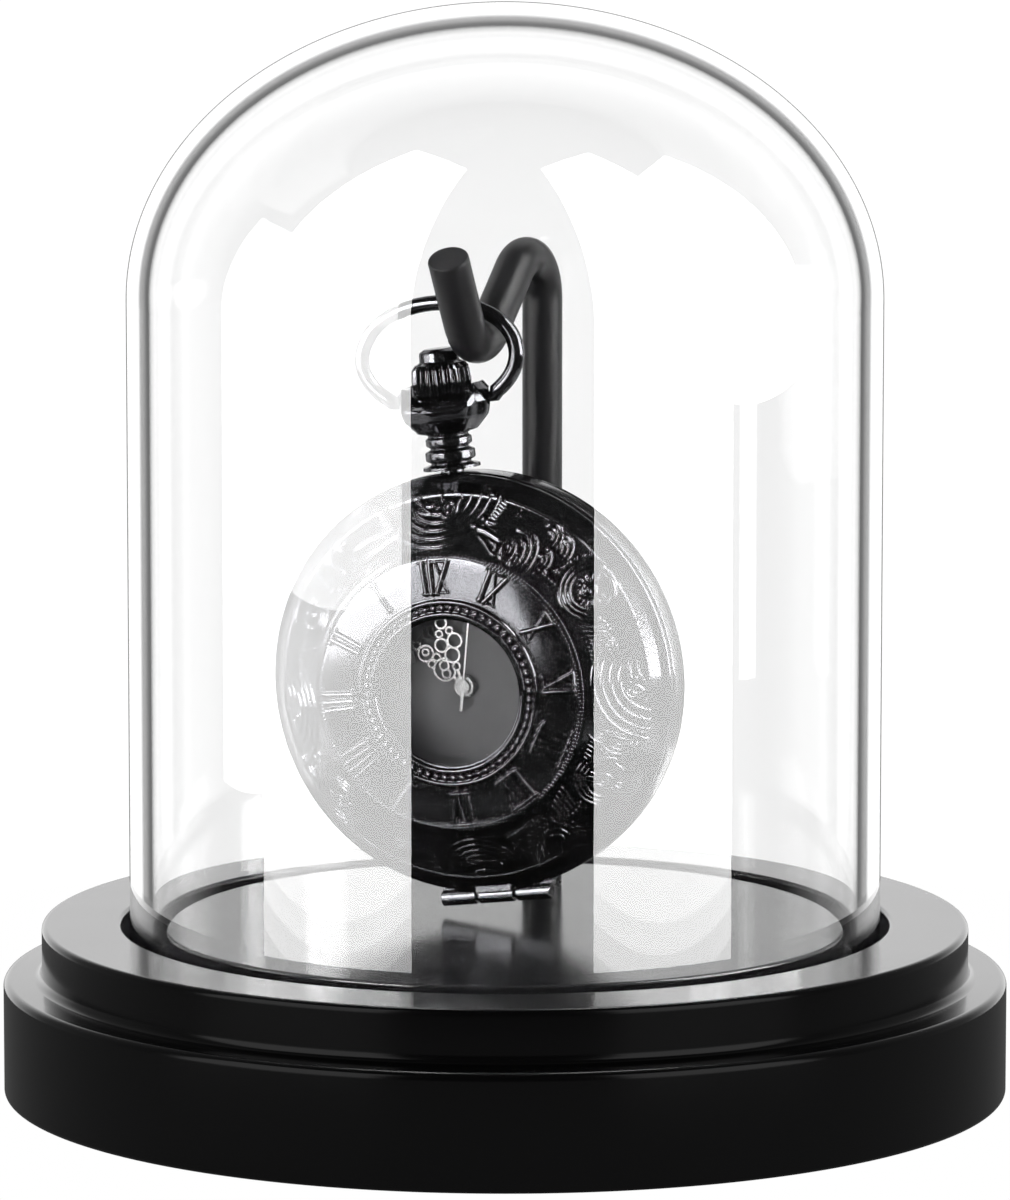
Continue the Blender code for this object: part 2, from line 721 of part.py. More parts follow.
LACQUER = new_material("black_lacquer", (0.012, 0.012, 0.014), 0.25)
FELT = new_material("black_felt", (0.02, 0.02, 0.022), 0.95)
SATIN_BLACK = new_material("satin_black_paint", (0.02, 0.02, 0.022), 0.42)
STEEL = new_material("plated_steel", (0.6, 0.6, 0.6), 0.35, metallic=1.0)
GLASS = new_material("clear_glass", (1, 1, 1), 0.0, transmission=1.0)
GUNMETAL = new_material("gunmetal_plating", (0.08, 0.08, 0.085), 0.18, metallic=1.0)
DIAL_PAINT = new_material("dial_paint", (0.12, 0.12, 0.125), 0.35)
PLASTIC = new_material("white_plastic", (0.7, 0.7, 0.68), 0.5)
HANDS = new_material("bright_hands", (0.8, 0.8, 0.8), 0.25, metallic=1.0)

WATCH = bpy.data.objects.new("watch_frame", None)
PARTS.objects.link(WATCH)
WATCH.location = Vector(WATCH_PLACE) * MM
WATCH.rotation_euler = (WATCH_PITCH, -WATCH_LEAN, -WATCH_YAW)

make_base()
make_hook()
make_glass()
make_case()
make_back_cover()
make_lid()
make_dial_group()
make_movement()
make_hands()
make_pendant()
make_crown()
make_bow()
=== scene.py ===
"""The looks of the display dome: lacquer, clear glass, a painted hook and an engraved demi-hunter watch.

Sizes are in millimetres and become metres where a mesh is made. The stand is in the frame's own axes. The
watch is built in axes of its own, taken from its joints: +X is to its right, +Z is up to 12 o'clock and -Y is
where it looks.
"""

import json
import math

import bmesh
import bpy
import numpy as np
from mathutils import Matrix, Vector

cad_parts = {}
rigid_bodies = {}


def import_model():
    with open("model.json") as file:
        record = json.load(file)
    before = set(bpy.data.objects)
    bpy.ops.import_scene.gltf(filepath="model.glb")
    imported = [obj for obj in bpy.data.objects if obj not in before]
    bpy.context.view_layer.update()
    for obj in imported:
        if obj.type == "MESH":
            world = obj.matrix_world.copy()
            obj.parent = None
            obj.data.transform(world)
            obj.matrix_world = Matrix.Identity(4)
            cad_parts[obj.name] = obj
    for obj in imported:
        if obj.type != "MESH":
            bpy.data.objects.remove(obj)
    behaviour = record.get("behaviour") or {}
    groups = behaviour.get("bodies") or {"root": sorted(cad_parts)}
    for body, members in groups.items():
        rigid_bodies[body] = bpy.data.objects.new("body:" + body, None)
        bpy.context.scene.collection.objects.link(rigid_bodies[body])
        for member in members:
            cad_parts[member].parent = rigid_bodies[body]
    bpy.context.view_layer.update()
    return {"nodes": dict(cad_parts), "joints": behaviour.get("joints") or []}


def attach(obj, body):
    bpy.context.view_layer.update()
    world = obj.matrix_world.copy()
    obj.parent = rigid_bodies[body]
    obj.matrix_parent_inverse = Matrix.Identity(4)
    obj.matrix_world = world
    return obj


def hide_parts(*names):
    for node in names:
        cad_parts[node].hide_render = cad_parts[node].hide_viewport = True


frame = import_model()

MM = 0.001

# ---------------- the watch's own axes

JOINTS = {joint["name"]: joint for joint in frame["joints"]}
UP = Vector(JOINTS["crown_turn"]["axis"]).normalized()
BACK = Vector(JOINTS["seconds_turn"]["axis"]).normalized()
RIGHT = BACK.cross(UP).normalized()
CENTRE = Vector(JOINTS["seconds_turn"]["pos_m"])
WATCH = Matrix.Translation(CENTRE) @ Matrix((RIGHT, BACK, UP)).transposed().to_4x4()
STAND = Matrix.Identity(4)

# ---------------- nodes and materials


def tree(material):
    nodes = material.node_tree.nodes
    return nodes, material.node_tree.links, nodes["Principled BSDF"]


def coordinates(nodes, links, scale):
    """The object's own coordinates, scaled so that 1 is 1 / scale metres."""
    source = nodes.new("ShaderNodeTexCoord")
    mapping = nodes.new("ShaderNodeMapping")
    mapping.inputs["Scale"].default_value = (scale, scale, scale)
    links.new(source.outputs["Object"], mapping.inputs["Vector"])
    return mapping.outputs["Vector"]


def noise(nodes, links, vector, scale, detail=3.0, roughness=0.5):
    node = nodes.new("ShaderNodeTexNoise")
    node.inputs["Scale"].default_value = scale
    node.inputs["Detail"].default_value = detail
    node.inputs["Roughness"].default_value = roughness
    links.new(vector, node.inputs["Vector"])
    return node.outputs["Fac"]


def spread(nodes, links, value, low, high):
    """value, from 0 to 1, taken to the range from low to high."""
    node = nodes.new("ShaderNodeMapRange")
    node.inputs["To Min"].default_value = low
    node.inputs["To Max"].default_value = high
    links.new(value, node.inputs["Value"])
    return node.outputs["Result"]


def feed(links, socket, value):
    """Links a socket to another node's output, or sets it to a plain value."""
    if isinstance(value, bpy.types.NodeSocket):
        links.new(value, socket)
    else:
        socket.default_value = value


def calculate(nodes, links, operation, *values):
    """The result of a Math node on numbers and other nodes' outputs."""
    node = nodes.new("ShaderNodeMath")
    node.operation = operation
    for socket, value in zip(node.inputs, values):
        feed(links, socket, value)
    return node.outputs["Value"]


def tint(nodes, links, factor, first, second):
    """The colour between two colours, by a factor from 0 to 1."""
    node = nodes.new("ShaderNodeMix")
    node.data_type = "RGBA"
    for name, value in (("Factor", factor), ("A", first), ("B", second)):
        feed(links, node.inputs[name], value)
    return node.outputs["Result"]


def bump(nodes, links, height, distance, strength=1.0):
    node = nodes.new("ShaderNodeBump")
    node.inputs["Strength"].default_value = strength
    node.inputs["Distance"].default_value = distance * MM
    links.new(height, node.inputs["Height"])
    return node.outputs["Normal"]


def surface(name, dark, light, roughness, metallic=0.0, grain=400.0, depth=0.0, ior=1.5):
    """A material whose colour and roughness drift with noise, with a fine bump where depth isn't 0."""
    material = bpy.data.materials.new(name)
    material.use_nodes = True
    nodes, links, shader = tree(material)
    vector = coordinates(nodes, links, 1.0)
    drift = noise(nodes, links, vector, grain / 6)
    fine = noise(nodes, links, vector, grain)
    links.new(tint(nodes, links, drift, (*dark, 1), (*light, 1)), shader.inputs["Base Color"])
    links.new(spread(nodes, links, drift, *roughness), shader.inputs["Roughness"])
    shader.inputs["Metallic"].default_value = metallic
    shader.inputs["IOR"].default_value = ior
    if depth:
        links.new(bump(nodes, links, fine, depth), shader.inputs["Normal"])
    return material


def lacquer():
    """Glossy black over turned wood: faint rings from the lathe and the soft waviness of thick paint."""
    material = surface("black_lacquer", BLACK, (0.005, 0.005, 0.0056), (0.14, 0.2))
    nodes, links, shader = tree(material)
    vector = coordinates(nodes, links, 1.0)
    rings = nodes.new("ShaderNodeTexWave")
    rings.wave_type = "RINGS"
    rings.rings_direction = "Z"
    rings.inputs["Scale"].default_value = 260
    rings.inputs["Distortion"].default_value = 1.5
    links.new(vector, rings.inputs["Vector"])
    peel = noise(nodes, links, vector, 350, 2.0)
    lathe = bump(nodes, links, rings.outputs["Fac"], 0.0012)
    both = nodes.new("ShaderNodeBump")
    both.inputs["Distance"].default_value = 0.004 * MM
    links.new(peel, both.inputs["Height"])
    links.new(lathe, both.inputs["Normal"])
    links.new(both.outputs["Normal"], shader.inputs["Normal"])
    return material


def glass(name, ior, colour=(1, 1, 1)):
    """Clear glass that lets the lamps' light through to what is behind it."""
    material = bpy.data.materials.new(name)
    material.use_nodes = True
    nodes, links, shader = tree(material)
    shader.inputs["Base Color"].default_value = (*colour, 1)
    shader.inputs["Roughness"].default_value = 0
    shader.inputs["IOR"].default_value = ior
    shader.inputs["Transmission Weight"].default_value = 1
    path = nodes.new("ShaderNodeLightPath")
    clear = nodes.new("ShaderNodeBsdfTransparent")
    mix = nodes.new("ShaderNodeMixShader")
    links.new(path.outputs["Is Shadow Ray"], mix.inputs[0])
    links.new(shader.outputs["BSDF"], mix.inputs[1])
    links.new(clear.outputs["BSDF"], mix.inputs[2])
    links.new(mix.outputs["Shader"], nodes["Material Output"].inputs["Surface"])
    return material


BLACK = (0.003, 0.003, 0.0034)
LACQUER = lacquer()
FELT = surface("felt", (0.012, 0.012, 0.013), (0.035, 0.035, 0.038), (0.9, 1.0), grain=2500, depth=0.15)
PAINT = surface("hook_paint", BLACK, (0.005, 0.005, 0.0055), (0.26, 0.34), 0.0, 3000, 0.004, 1.3)
GUNMETAL = surface("gunmetal", (0.07, 0.07, 0.075), (0.1, 0.1, 0.105), (0.06, 0.14), 1.0, grain=1500)
PLATING = surface("plating", (0.5, 0.5, 0.5), (0.65, 0.65, 0.64), (0.25, 0.4), 1.0, 1500, 0.004)
BRIGHT = surface("hand_plating", (0.75, 0.75, 0.75), (0.85, 0.85, 0.85), (0.12, 0.2), 1.0, grain=1500)
DIAL = surface("dial_paint", (0.035, 0.035, 0.038), (0.05, 0.05, 0.053), (0.3, 0.4), 0.0, 3000, 0.003)
PRINT = surface("dial_print", (0.08, 0.08, 0.08), (0.11, 0.11, 0.11), (0.35, 0.45), grain=3000)
PLASTIC = surface("holder_plastic", (0.6, 0.6, 0.57), (0.7, 0.7, 0.68), (0.4, 0.5), grain=1500, depth=0.01)
DOME_GLASS = glass("dome_glass", 1.5)
CRYSTAL = glass("crystal_glass", 1.18)

# ---------------- making meshes


def piece(name, points, faces, material, body, slot, axes=STAND, stands_for=(), sharp=35):
    """A mesh object from points in millimetres, in place, riding on its body."""
    mesh = bpy.data.meshes.new(name)
    mesh.from_pydata(np.asarray(points, float) * MM, [], faces)
    mesh.transform(axes)
    mesh.validate()
    obj = bpy.data.objects.new(name, mesh)
    bpy.context.scene.collection.objects.link(obj)
    mesh.materials.append(material)
    mesh.shade_smooth()
    mesh.set_sharp_from_angle(angle=math.radians(sharp))
    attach(obj, body)
    if stands_for:
        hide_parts(*stands_for)
    return obj


def grid_faces(rows, columns, loop_rows=False, loop_columns=True):
    """The quads of a grid whose points are stored row by row."""
    faces = []
    for row in range(rows if loop_rows else rows - 1):
        upper, lower = row * columns, (row + 1) % rows * columns
        for column in range(columns if loop_columns else columns - 1):
            beside = (column + 1) % columns
            faces.append((upper + column, lower + column, lower + beside, upper + beside))
    return faces


def fillet(corners, steps=6):
    """An outline through (x, y, radius) corners, with each corner rounded by its radius."""
    outline = []
    count = len(corners)
    for i, (x, y, radius) in enumerate(corners):
        here = np.array((x, y), float)
        if radius <= 0 or i in (0, count - 1):
            outline.append(tuple(here))
            continue
        to_last = np.array(corners[i - 1][:2], float) - here
        to_next = np.array(corners[i + 1][:2], float) - here
        to_last /= np.linalg.norm(to_last)
        to_next /= np.linalg.norm(to_next)
        half = math.acos(np.clip(to_last @ to_next, -1, 1)) / 2
        middle = here + (to_last + to_next) / np.linalg.norm(to_last + to_next) * radius / math.sin(half)
        start = here + to_last * radius / math.tan(half) - middle
        end = here + to_next * radius / math.tan(half) - middle
        turn = math.atan2(start[0] * end[1] - start[1] * end[0], start @ end)
        for k in range(steps + 1):
            a = turn * k / steps
            c, s = math.cos(a), math.sin(a)
            outline.append(tuple(middle + (c * start[0] - s * start[1], s * start[0] + c * start[1])))
    return outline


LONG_SIDE = 2.5


def supported(outline, near=0.15):
    """The outline with a point near each end of a long side, so that smooth shading keeps it straight."""
    result = []
    for start, end in zip(outline, outline[1:]):
        start, end = np.asarray(start, float), np.asarray(end, float)
        length = np.linalg.norm(end - start)
        result.append(tuple(start))
        if length > LONG_SIDE:
            result.append(tuple(start + (end - start) * near / length))
            result.append(tuple(end - (end - start) * near / length))
    result.append(tuple(outline[-1]))
    return result


def revolve(outline, columns, closed=False, facing=False):
    """Points and faces of an outline of (radius, height) turned about the height's axis.

    facing turns about the way the watch looks instead, so that heights are distances in front."""
    outline = supported(list(outline) + [outline[0]])[:-1] if closed else supported(outline)
    points, rings = [], []
    for radius, height in outline:
        if radius < 1e-6:
            rings.append([len(points)] * columns)
            points.append((0, 0, height))
            continue
        rings.append(list(range(len(points), len(points) + columns)))
        for k in range(columns):
            a = 2 * math.pi * k / columns
            points.append((radius * math.cos(a), radius * math.sin(a), height))
    if closed:
        rings.append(rings[0])
    faces = []
    for upper, lower in zip(rings, rings[1:]):
        for k in range(columns):
            beside = (k + 1) % columns
            corners = (upper[k], lower[k], lower[beside], upper[beside])
            kept = tuple(dict.fromkeys(corners))
            if len(kept) > 2:
                faces.append(kept)
    if facing:
        points = [(x, -z, y) for x, y, z in points]
    return points, faces


def sweep(path, radii, sides=24, caps=True):
    """Points and faces of a round bar along a path, turned as little as possible from point to point."""
    path = np.asarray(path, float)
    tangents = np.gradient(path, axis=0)
    tangents /= np.linalg.norm(tangents, axis=1)[:, None]
    side = np.cross(tangents[0], (0.3, 0.2, 1.0))
    points = []
    for at, tangent, radius in zip(path, tangents, np.broadcast_to(radii, len(path))):
        side = side - tangent * (side @ tangent)
        side /= np.linalg.norm(side)
        other = np.cross(tangent, side)
        for k in range(sides):
            a = -2 * math.pi * k / sides
            points.append(at + radius * (math.cos(a) * side + math.sin(a) * other))
    faces = grid_faces(len(path), sides)
    if caps:
        faces.append(tuple(reversed(range(sides))))
        faces.append(tuple(range(len(points) - sides, len(points))))
    return points, faces


def evaluated_mesh(obj):
    """A copy of obj's mesh with its modifiers applied."""
    bpy.context.view_layer.update()
    return bpy.data.meshes.new_from_object(obj.evaluated_get(bpy.context.evaluated_depsgraph_get()))


def cut(obj, points, faces, axes=STAND):
    """Cuts a shape from obj."""
    mesh = bpy.data.meshes.new("tool")
    mesh.from_pydata(np.asarray(points, float) * MM, [], faces)
    mesh.transform(axes)
    tool = bpy.data.objects.new("tool", mesh)
    bpy.context.scene.collection.objects.link(tool)
    modifier = obj.modifiers.new("cut", "BOOLEAN")
    modifier.object = tool
    modifier.operation = "DIFFERENCE"
    result = evaluated_mesh(obj)
    obj.modifiers.remove(modifier)
    obj.data = result
    bpy.data.objects.remove(tool)


# ---------------- the display stand

BASE_RADIUS = 53.5
TIER_RADIUS = 49.4
LEDGE_HEIGHT = 12.5
BASE_HEIGHT = 18.2
GROOVE_RADII = (36.15, 40.9)
GROOVE_FLOOR = 13.2
RIM_LIFT = 0.1
PAD_SPACE = (50.3, 1.3)
POLE = (4.1, 23.4)
HOOK_YAW = math.radians(21.3)
ROD_RADIUS = 2.2
TAIL_RADIUS = 1.9
TAIL_END = 2.4
NUT_POCKET = (6.2, 8.0)
GAP = 0.3


def make_base():
    platform, groove = GROOVE_RADII
    corners = [
        (0, BASE_HEIGHT, 0),
        (platform, BASE_HEIGHT, 0.35),
        (platform, GROOVE_FLOOR, 0.3),
        (groove, GROOVE_FLOOR, 0.3),
        (groove, BASE_HEIGHT, 0.45),
        (TIER_RADIUS, BASE_HEIGHT, 0.6),
        (TIER_RADIUS, LEDGE_HEIGHT, 0.9),
        (BASE_RADIUS, LEDGE_HEIGHT, 0.8),
        (BASE_RADIUS, RIM_LIFT, 0.5),
        (PAD_SPACE[0], RIM_LIFT, 0),
        (PAD_SPACE[0], PAD_SPACE[1], 0),
        (0, PAD_SPACE[1], 0),
    ]
    points, faces = revolve(fillet(corners, 10), 256)
    base = piece("base", points, faces, LACQUER, "stand", "black_lacquer", stands_for=["base_body"])
    for radius, height in ((TAIL_RADIUS + GAP, BASE_HEIGHT + 2), NUT_POCKET):
        path = [(*POLE, -1), (*POLE, height)]
        cut(base, *sweep(path, radius, 48))
    base.data.set_sharp_from_angle(angle=math.radians(35))


def hook_line():
    """The hook's centre line as (distance from the pole, height), and the rod's radius along it."""
    shoulder = BASE_HEIGHT + GAP
    line = [(0, TAIL_END), (0, shoulder - 0.02), (0, shoulder), (0, shoulder + 0.02), (0, 50)]
    radii = [TAIL_RADIUS, TAIL_RADIUS, ROD_RADIUS - 0.1, ROD_RADIUS, ROD_RADIUS]
    heading = math.pi / 2
    at = np.array((0, 82.4))
    line.append(tuple(at))
    for radius, turn, run in ((-5.25, 128.4, 9.3), (5.1, 97.1, 8.35)):
        steps = 28
        centre = at + radius * np.array((-math.sin(heading), math.cos(heading)))
        for _ in range(steps):
            heading += math.copysign(math.radians(turn) / steps, radius)
            at = centre - radius * np.array((-math.sin(heading), math.cos(heading)))
            line.append(tuple(at))
        at = at + run * np.array((math.cos(heading), math.sin(heading)))
        line.append(tuple(at))
    radii += [ROD_RADIUS] * (len(line) - len(radii))
    for lip, radius in ((0.12, ROD_RADIUS - 0.03), (0.23, ROD_RADIUS - 0.12), (0.25, ROD_RADIUS - 0.3)):
        line.append(tuple(at + lip * np.array((math.cos(heading), math.sin(heading)))))
        radii.append(radius)
    return line, radii


def make_hook():
    line, radii = hook_line()
    out = (-math.sin(HOOK_YAW), -math.cos(HOOK_YAW))
    path = [(POLE[0] + away * out[0], POLE[1] + away * out[1], height) for away, height in line]
    points, faces = sweep(path, radii, 56)
    piece("hook", points, faces, PAINT, "stand", "satin_black_paint", stands_for=["hook_rod"])


GLASS_RADIUS = 40.0
GLASS_WALL = 2.4
GLASS_SHOULDER = 84.9
GLASS_CAP_RISE = 31.2
GLASS_FOOT = 13.5


def make_dome():
    steps = 72

    def cap(radius, rise):
        turns = [math.pi / 2 * i / steps for i in range(steps + 1)]
        return [(radius * math.sin(a), GLASS_SHOULDER + rise * math.cos(a)) for a in turns]

    inner = GLASS_RADIUS - GLASS_WALL
    lip = GLASS_WALL / 2
    foot = []
    for i in range(17):
        a = math.pi * i / 16
        foot.append((GLASS_RADIUS - lip + lip * math.cos(a), GLASS_FOOT + lip - lip * math.sin(a)))
    outline = cap(GLASS_RADIUS, GLASS_CAP_RISE) + foot + cap(inner, GLASS_CAP_RISE - GLASS_WALL)[::-1]
    points, faces = revolve(outline, 256)
    piece("dome", points, faces, DOME_GLASS, "dome", "clear_glass", stands_for=["glass_dome"], sharp=60)


# ---------------- relief on the lid


class Relief:
    """A ring of the lid as a grid in (radius, angle), with heights raised by strokes and dots.

    Angles run clockwise from 12 o'clock, as the watch is seen."""

    def __init__(self, radii, columns):
        self.radii = np.asarray(radii, float)
        self.columns = columns
        self.step = 2 * math.pi / columns
        self.heights = np.zeros((len(self.radii), columns))
        angles = np.arange(columns) * self.step
        self.x = self.radii[:, None] * np.sin(angles)
        self.y = self.radii[:, None] * np.cos(angles)

    def stamp(self, points, half_widths, height):
        """Raises round spots at points."""
        points = np.asarray(points, float).reshape(-1, 2)
        half_widths = np.broadcast_to(half_widths, len(points))
        widest = half_widths.max()
        radius = np.hypot(points[:, 0], points[:, 1])
        angle = np.arctan2(points[:, 0], points[:, 1])
        spacing = np.diff(self.radii).mean()
        reach_rows = int(widest / spacing) + 1
        reach_columns = int(widest / (self.radii[0] * self.step)) + 1
        nearest_row = np.searchsorted(self.radii, radius)[:, None, None]
        nearest_column = np.rint(angle / self.step).astype(int)[:, None, None]
        row = nearest_row + np.arange(-reach_rows, reach_rows + 1)[:, None]
        column = nearest_column + np.arange(-reach_columns, reach_columns + 1)
        row, column = np.broadcast_arrays(row, column % self.columns)
        inside = (row >= 0) & (row < len(self.radii))
        row = np.clip(row, 0, len(self.radii) - 1)
        x, y = points.T[:, :, None, None]
        away = np.hypot(self.x[row, column] - x, self.y[row, column] - y)
        share = np.clip(away / half_widths[:, None, None], 0, 1)
        raised = np.where(inside & (share < 1), height * np.sqrt(1 - share**2), 0)
        np.maximum.at(self.heights, (row, column), raised)

    def stroke(self, points, width, height, taper=(1.0, 1.0)):
        """A ridge along a line, whose width may taper to a share of itself at either end."""
        points = np.asarray(points, float)
        lengths = np.concatenate([[0], np.cumsum(np.linalg.norm(np.diff(points, axis=0), axis=1))])
        count = max(2, int(lengths[-1] / 0.05))
        at = np.linspace(0, lengths[-1], count)
        line = np.stack([np.interp(at, lengths, points[:, i]) for i in (0, 1)], 1)
        share = at / lengths[-1]
        swell = np.minimum(1, np.minimum(taper[0] + 4 * share, taper[1] + 4 * (1 - share)))
        self.stamp(line, np.maximum(width / 2 * swell, 0.04), height)


def clock(radius, degrees):
    """A point on the lid from its radius and its angle, clockwise from 12 o'clock."""
    a = math.radians(degrees)
    return np.array((radius * math.sin(a), radius * math.cos(a)))


class Motif:
    """Draws ornament in a frame of its own: along runs clockwise round the lid, out runs to the rim."""

    def __init__(self, relief, radius, degrees, side=1):
        self.relief = relief
        self.origin = clock(radius, degrees * side)
        a = math.radians(degrees * side)
        self.out = np.array((math.sin(a), math.cos(a)))
        self.along = np.array((math.cos(a), -math.sin(a))) * side

    def place(self, points):
        points = np.asarray(points, float).reshape(-1, 2)
        return self.origin + points[:, :1] * self.along + points[:, 1:] * self.out

    def line(self, points, width=0.46, height=0.18, taper=(0.3, 0.3)):
        self.relief.stroke(self.place(points), width, height, taper)

    def arc(self, centre, radii, start, end, width=0.46, height=0.18, taper=(0.3, 0.3)):
        """Part of an ellipse; angles in degrees, 0 along and 90 out."""
        a = np.radians(np.linspace(start, end, 60))
        radii = np.broadcast_to(radii, 2)
        points = np.stack([centre[0] + radii[0] * np.cos(a), centre[1] + radii[1] * np.sin(a)], 1)
        self.line(points, width, height, taper)

    def spiral(self, centre, outer, inner, start, turn, width=0.44, height=0.2):
        share = np.linspace(0, 1, 120)
        a = np.radians(start + turn * share)
        r = outer + (inner - outer) * share**0.8
        points = np.stack([centre[0] + r * np.cos(a), centre[1] + r * np.sin(a)], 1)
        self.line(points, width, height, (0.4, 1.0))
        self.dots([points[-1]], inner * 0.9, height)

    def dots(self, points, radius=0.17, height=0.14):
        self.relief.stamp(self.place(points), radius, height)

    def dotted_arc(self, centre, radius, start, end, count, size=0.17):
        a = np.radians(np.linspace(start, end, count))
        self.dots(np.stack([centre[0] + radius * np.cos(a), centre[1] + radius * np.sin(a)], 1), size)

    def hatch(self, start, end, reach, count, width=0.2, height=0.12):
        """Short parallel bars between two points, each as long as reach."""
        for share in np.linspace(0, 1, count):
            at = np.asarray(start) + (np.asarray(end) - np.asarray(start)) * share
            self.line([at, at + np.asarray(reach)], width, height, (0.6, 0.6))


def shell(motif, lines=5):
    """Nested curves that open to the rim round a small scroll, as at 12 o'clock."""
    for i in range(lines):
        width = 0.42 if i == 0 else 0.32
        motif.arc((0, 2.55), (6.5 - 1.05 * i, 5.0 - 0.78 * i), 186, 354, width, 0.2, (0.5, 0.5))
    motif.spiral((1.15, 1.15), 1.0, 0.25, 200, 500)
    motif.arc((-1.2, 1.9), (1.9, 1.1), 185, 300, 0.3, 0.14)
    motif.arc((-1.3, 2.3), (1.3, 0.8), 180, 330, 0.26, 0.14)
    motif.dots([(0.2, 2.0), (-0.2, 1.3), (0.1, 2.4), (2.3, 2.0), (-2.6, 2.2), (0.6, 0.4)], 0.16)


def feather(motif):
    """A fan of barbs between two quills."""
    motif.line([(-1.4, 2.6), (-1.9, 0.6), (-2.6, -0.9)], 0.34)
    motif.line([(-0.5, 2.7), (-1.0, 0.9), (-2.0, -0.6)], 0.3)
    motif.line([(2.2, 1.9), (0.9, 0.2), (-0.9, -0.8)], 0.34)
    motif.hatch((-0.2, 2.3), (-0.9, 0.1), (0.75, -0.25), 8)
    motif.hatch((1.9, 0.9), (0.3, -0.6), (0.5, 0.45), 6)


def leaf_scroll(motif):
    """A long leaf that ends in a volute, with lobes behind it."""
    motif.line([(-4.6, -0.4), (-2.8, -0.15), (-1.0, -0.35), (0.3, -0.2)], 0.62, 0.22, (0.1, 0.6))
    motif.line([(-4.2, 0.5), (-2.0, 0.75), (0.2, 1.1), (1.9, 0.9)], 0.4, 0.18, (0.1, 0.2))
    motif.spiral((0.25, -1.15), 1.05, 0.3, 95, -560, 0.36, 0.2)
    motif.line([(-3.2, -0.95), (-2.2, -1.2), (-1.3, -1.7), (-0.6, -2.0)], 0.3)
    motif.line([(-1.9, -0.85), (-1.2, -1.05), (-0.9, -1.55)], 0.28)
    for i, reach in enumerate((1.75, 2.4, 3.05)):
        motif.arc((0.3, -1.1), (reach, reach * 0.92), 62 - 4 * i, -38 - 6 * i, 0.3)
    for turn in (-75, -45, -15):
        at = clock(1.5, 90 - turn)
        motif.arc((at[0] + 0.6, at[1] - 1.0), 0.42, 20, 250, 0.24, 0.14)
    motif.dots([(1.15, -1.7), (1.35, -1.1), (2.0, -0.6), (2.1, -1.6), (1.5, 0.0)], 0.17)


def lobes(motif):
    """Overlapping round leaves with ribs."""
    for i, (x, y, reach) in enumerate(((-1.1, 1.0, 1.5), (0.5, 0.6, 1.6), (-0.3, -1.1, 1.3))):
        motif.arc((x, y), reach, 150 - 30 * i, -60, 0.3)
        motif.arc((x, y), reach * 0.68, 130 - 30 * i, -40, 0.26)
        motif.arc((x, y), reach * 0.36, 120, -30, 0.24)
    motif.hatch((-2.2, -0.6), (-1.2, -2.1), (0.6, 0.35), 4)
    motif.dots([(-1.9, 1.9), (1.9, -0.9), (1.2, -1.6), (-1.6, 0.1)], 0.17)


def rosette(motif, size=1.0, turn=0):
    """Rings round a curl, with short rays and a dotted border."""
    for radius, start, sweep_by in ((3.1, 60, 245), (2.6, 40, 275), (2.1, 95, 300)):
        radii = (radius * size, radius * 0.86 * size)
        motif.arc((0, 0), radii, start + turn, start + sweep_by + turn, 0.32, 0.18)
    for k in range(13):
        a = math.radians(k * 22 + turn + 120)
        inner, outer = 1.12 * size, 1.6 * size
        c, s = math.cos(a), math.sin(a)
        motif.line([(inner * c, inner * s), (outer * c, outer * s)], 0.19, 0.12, (0.7, 0.7))
    motif.spiral((0, 0), 0.95 * size, 0.26, 150 + turn, 520, 0.3, 0.18)


def sprig(motif):
    """Straight stems side by side with a dotted stem between them."""
    motif.hatch((-1.5, -1.6), (0.9, -1.0), (1.0, 2.1), 5, 0.28, 0.15)
    motif.dotted_arc((0.2, -2.4), 3.4, 120, 50, 9)


def pearls(motif):
    """Two rows of pearls round a hollow."""
    motif.dotted_arc((0.3, 1.0), 2.1, 170, 375, 13, 0.19)
    motif.dotted_arc((0.3, 1.0), 2.75, 165, 370, 15, 0.19)
    motif.arc((0.3, 1.0), 1.45, 175, 355, 0.28)
    motif.arc((0.3, 1.1), 0.8, 170, 350, 0.26)


def scrollwork(relief):
    """The whole band: the two halves mirror each other about the line from 12 to 6 o'clock."""
    shell(Motif(relief, 18.05, 0))
    bottom = Motif(relief, 18.0, 180)
    for i in range(5):
        bottom.arc((0, 2.9), (4.7 - 0.62 * i, 4.95 - 0.66 * i), 218, 322, 0.3, 0.17)
    bottom.dotted_arc((0, 6.2), 5.6, 244, 296, 10, 0.18)
    bottom.arc((0, 2.9), (1.6, 1.2), 200, 340, 0.28)
    for side in (1, -1):
        feather(Motif(relief, 18.2, 19.5, side))
        leaf_scroll(Motif(relief, 17.5, 27, side))
        lobes(Motif(relief, 18.1, 40.5, side))
        rosette(Motif(relief, 18.4, 59.5, side))
        Motif(relief, 18.2, 59.5, side).dotted_arc((0, 0), 3.7, 115, 200, 9)
        sprig(Motif(relief, 17.2, 74, side))
        shell(Motif(relief, 18.15, 92, side), 4)
        lobes(Motif(relief, 17.9, 110, side))
        rosette(Motif(relief, 18.5, 126, side), 0.98, 140)
        sprig(Motif(relief, 17.0, 140.5, side))
        pearls(Motif(relief, 18.2, 152, side))
        feather(Motif(relief, 18.0, 164.5, side))
        Motif(relief, 16.2, 158, side).hatch((-2.2, -0.4), (2.2, -0.3), (0.1, 0.55), 10)
        for degrees, reach, count in ((47, 1.6, 8), (82, 1.8, 9), (117, 1.4, 7)):
            Motif(relief, 15.75, degrees, side).hatch((-reach, 0.1), (reach, 0.1), (0.25, 0.5), count)


# ---------------- Roman numerals

NUMERAL_RADII = (10.75, 14.05)
THICK = 0.62
THIN = 0.3


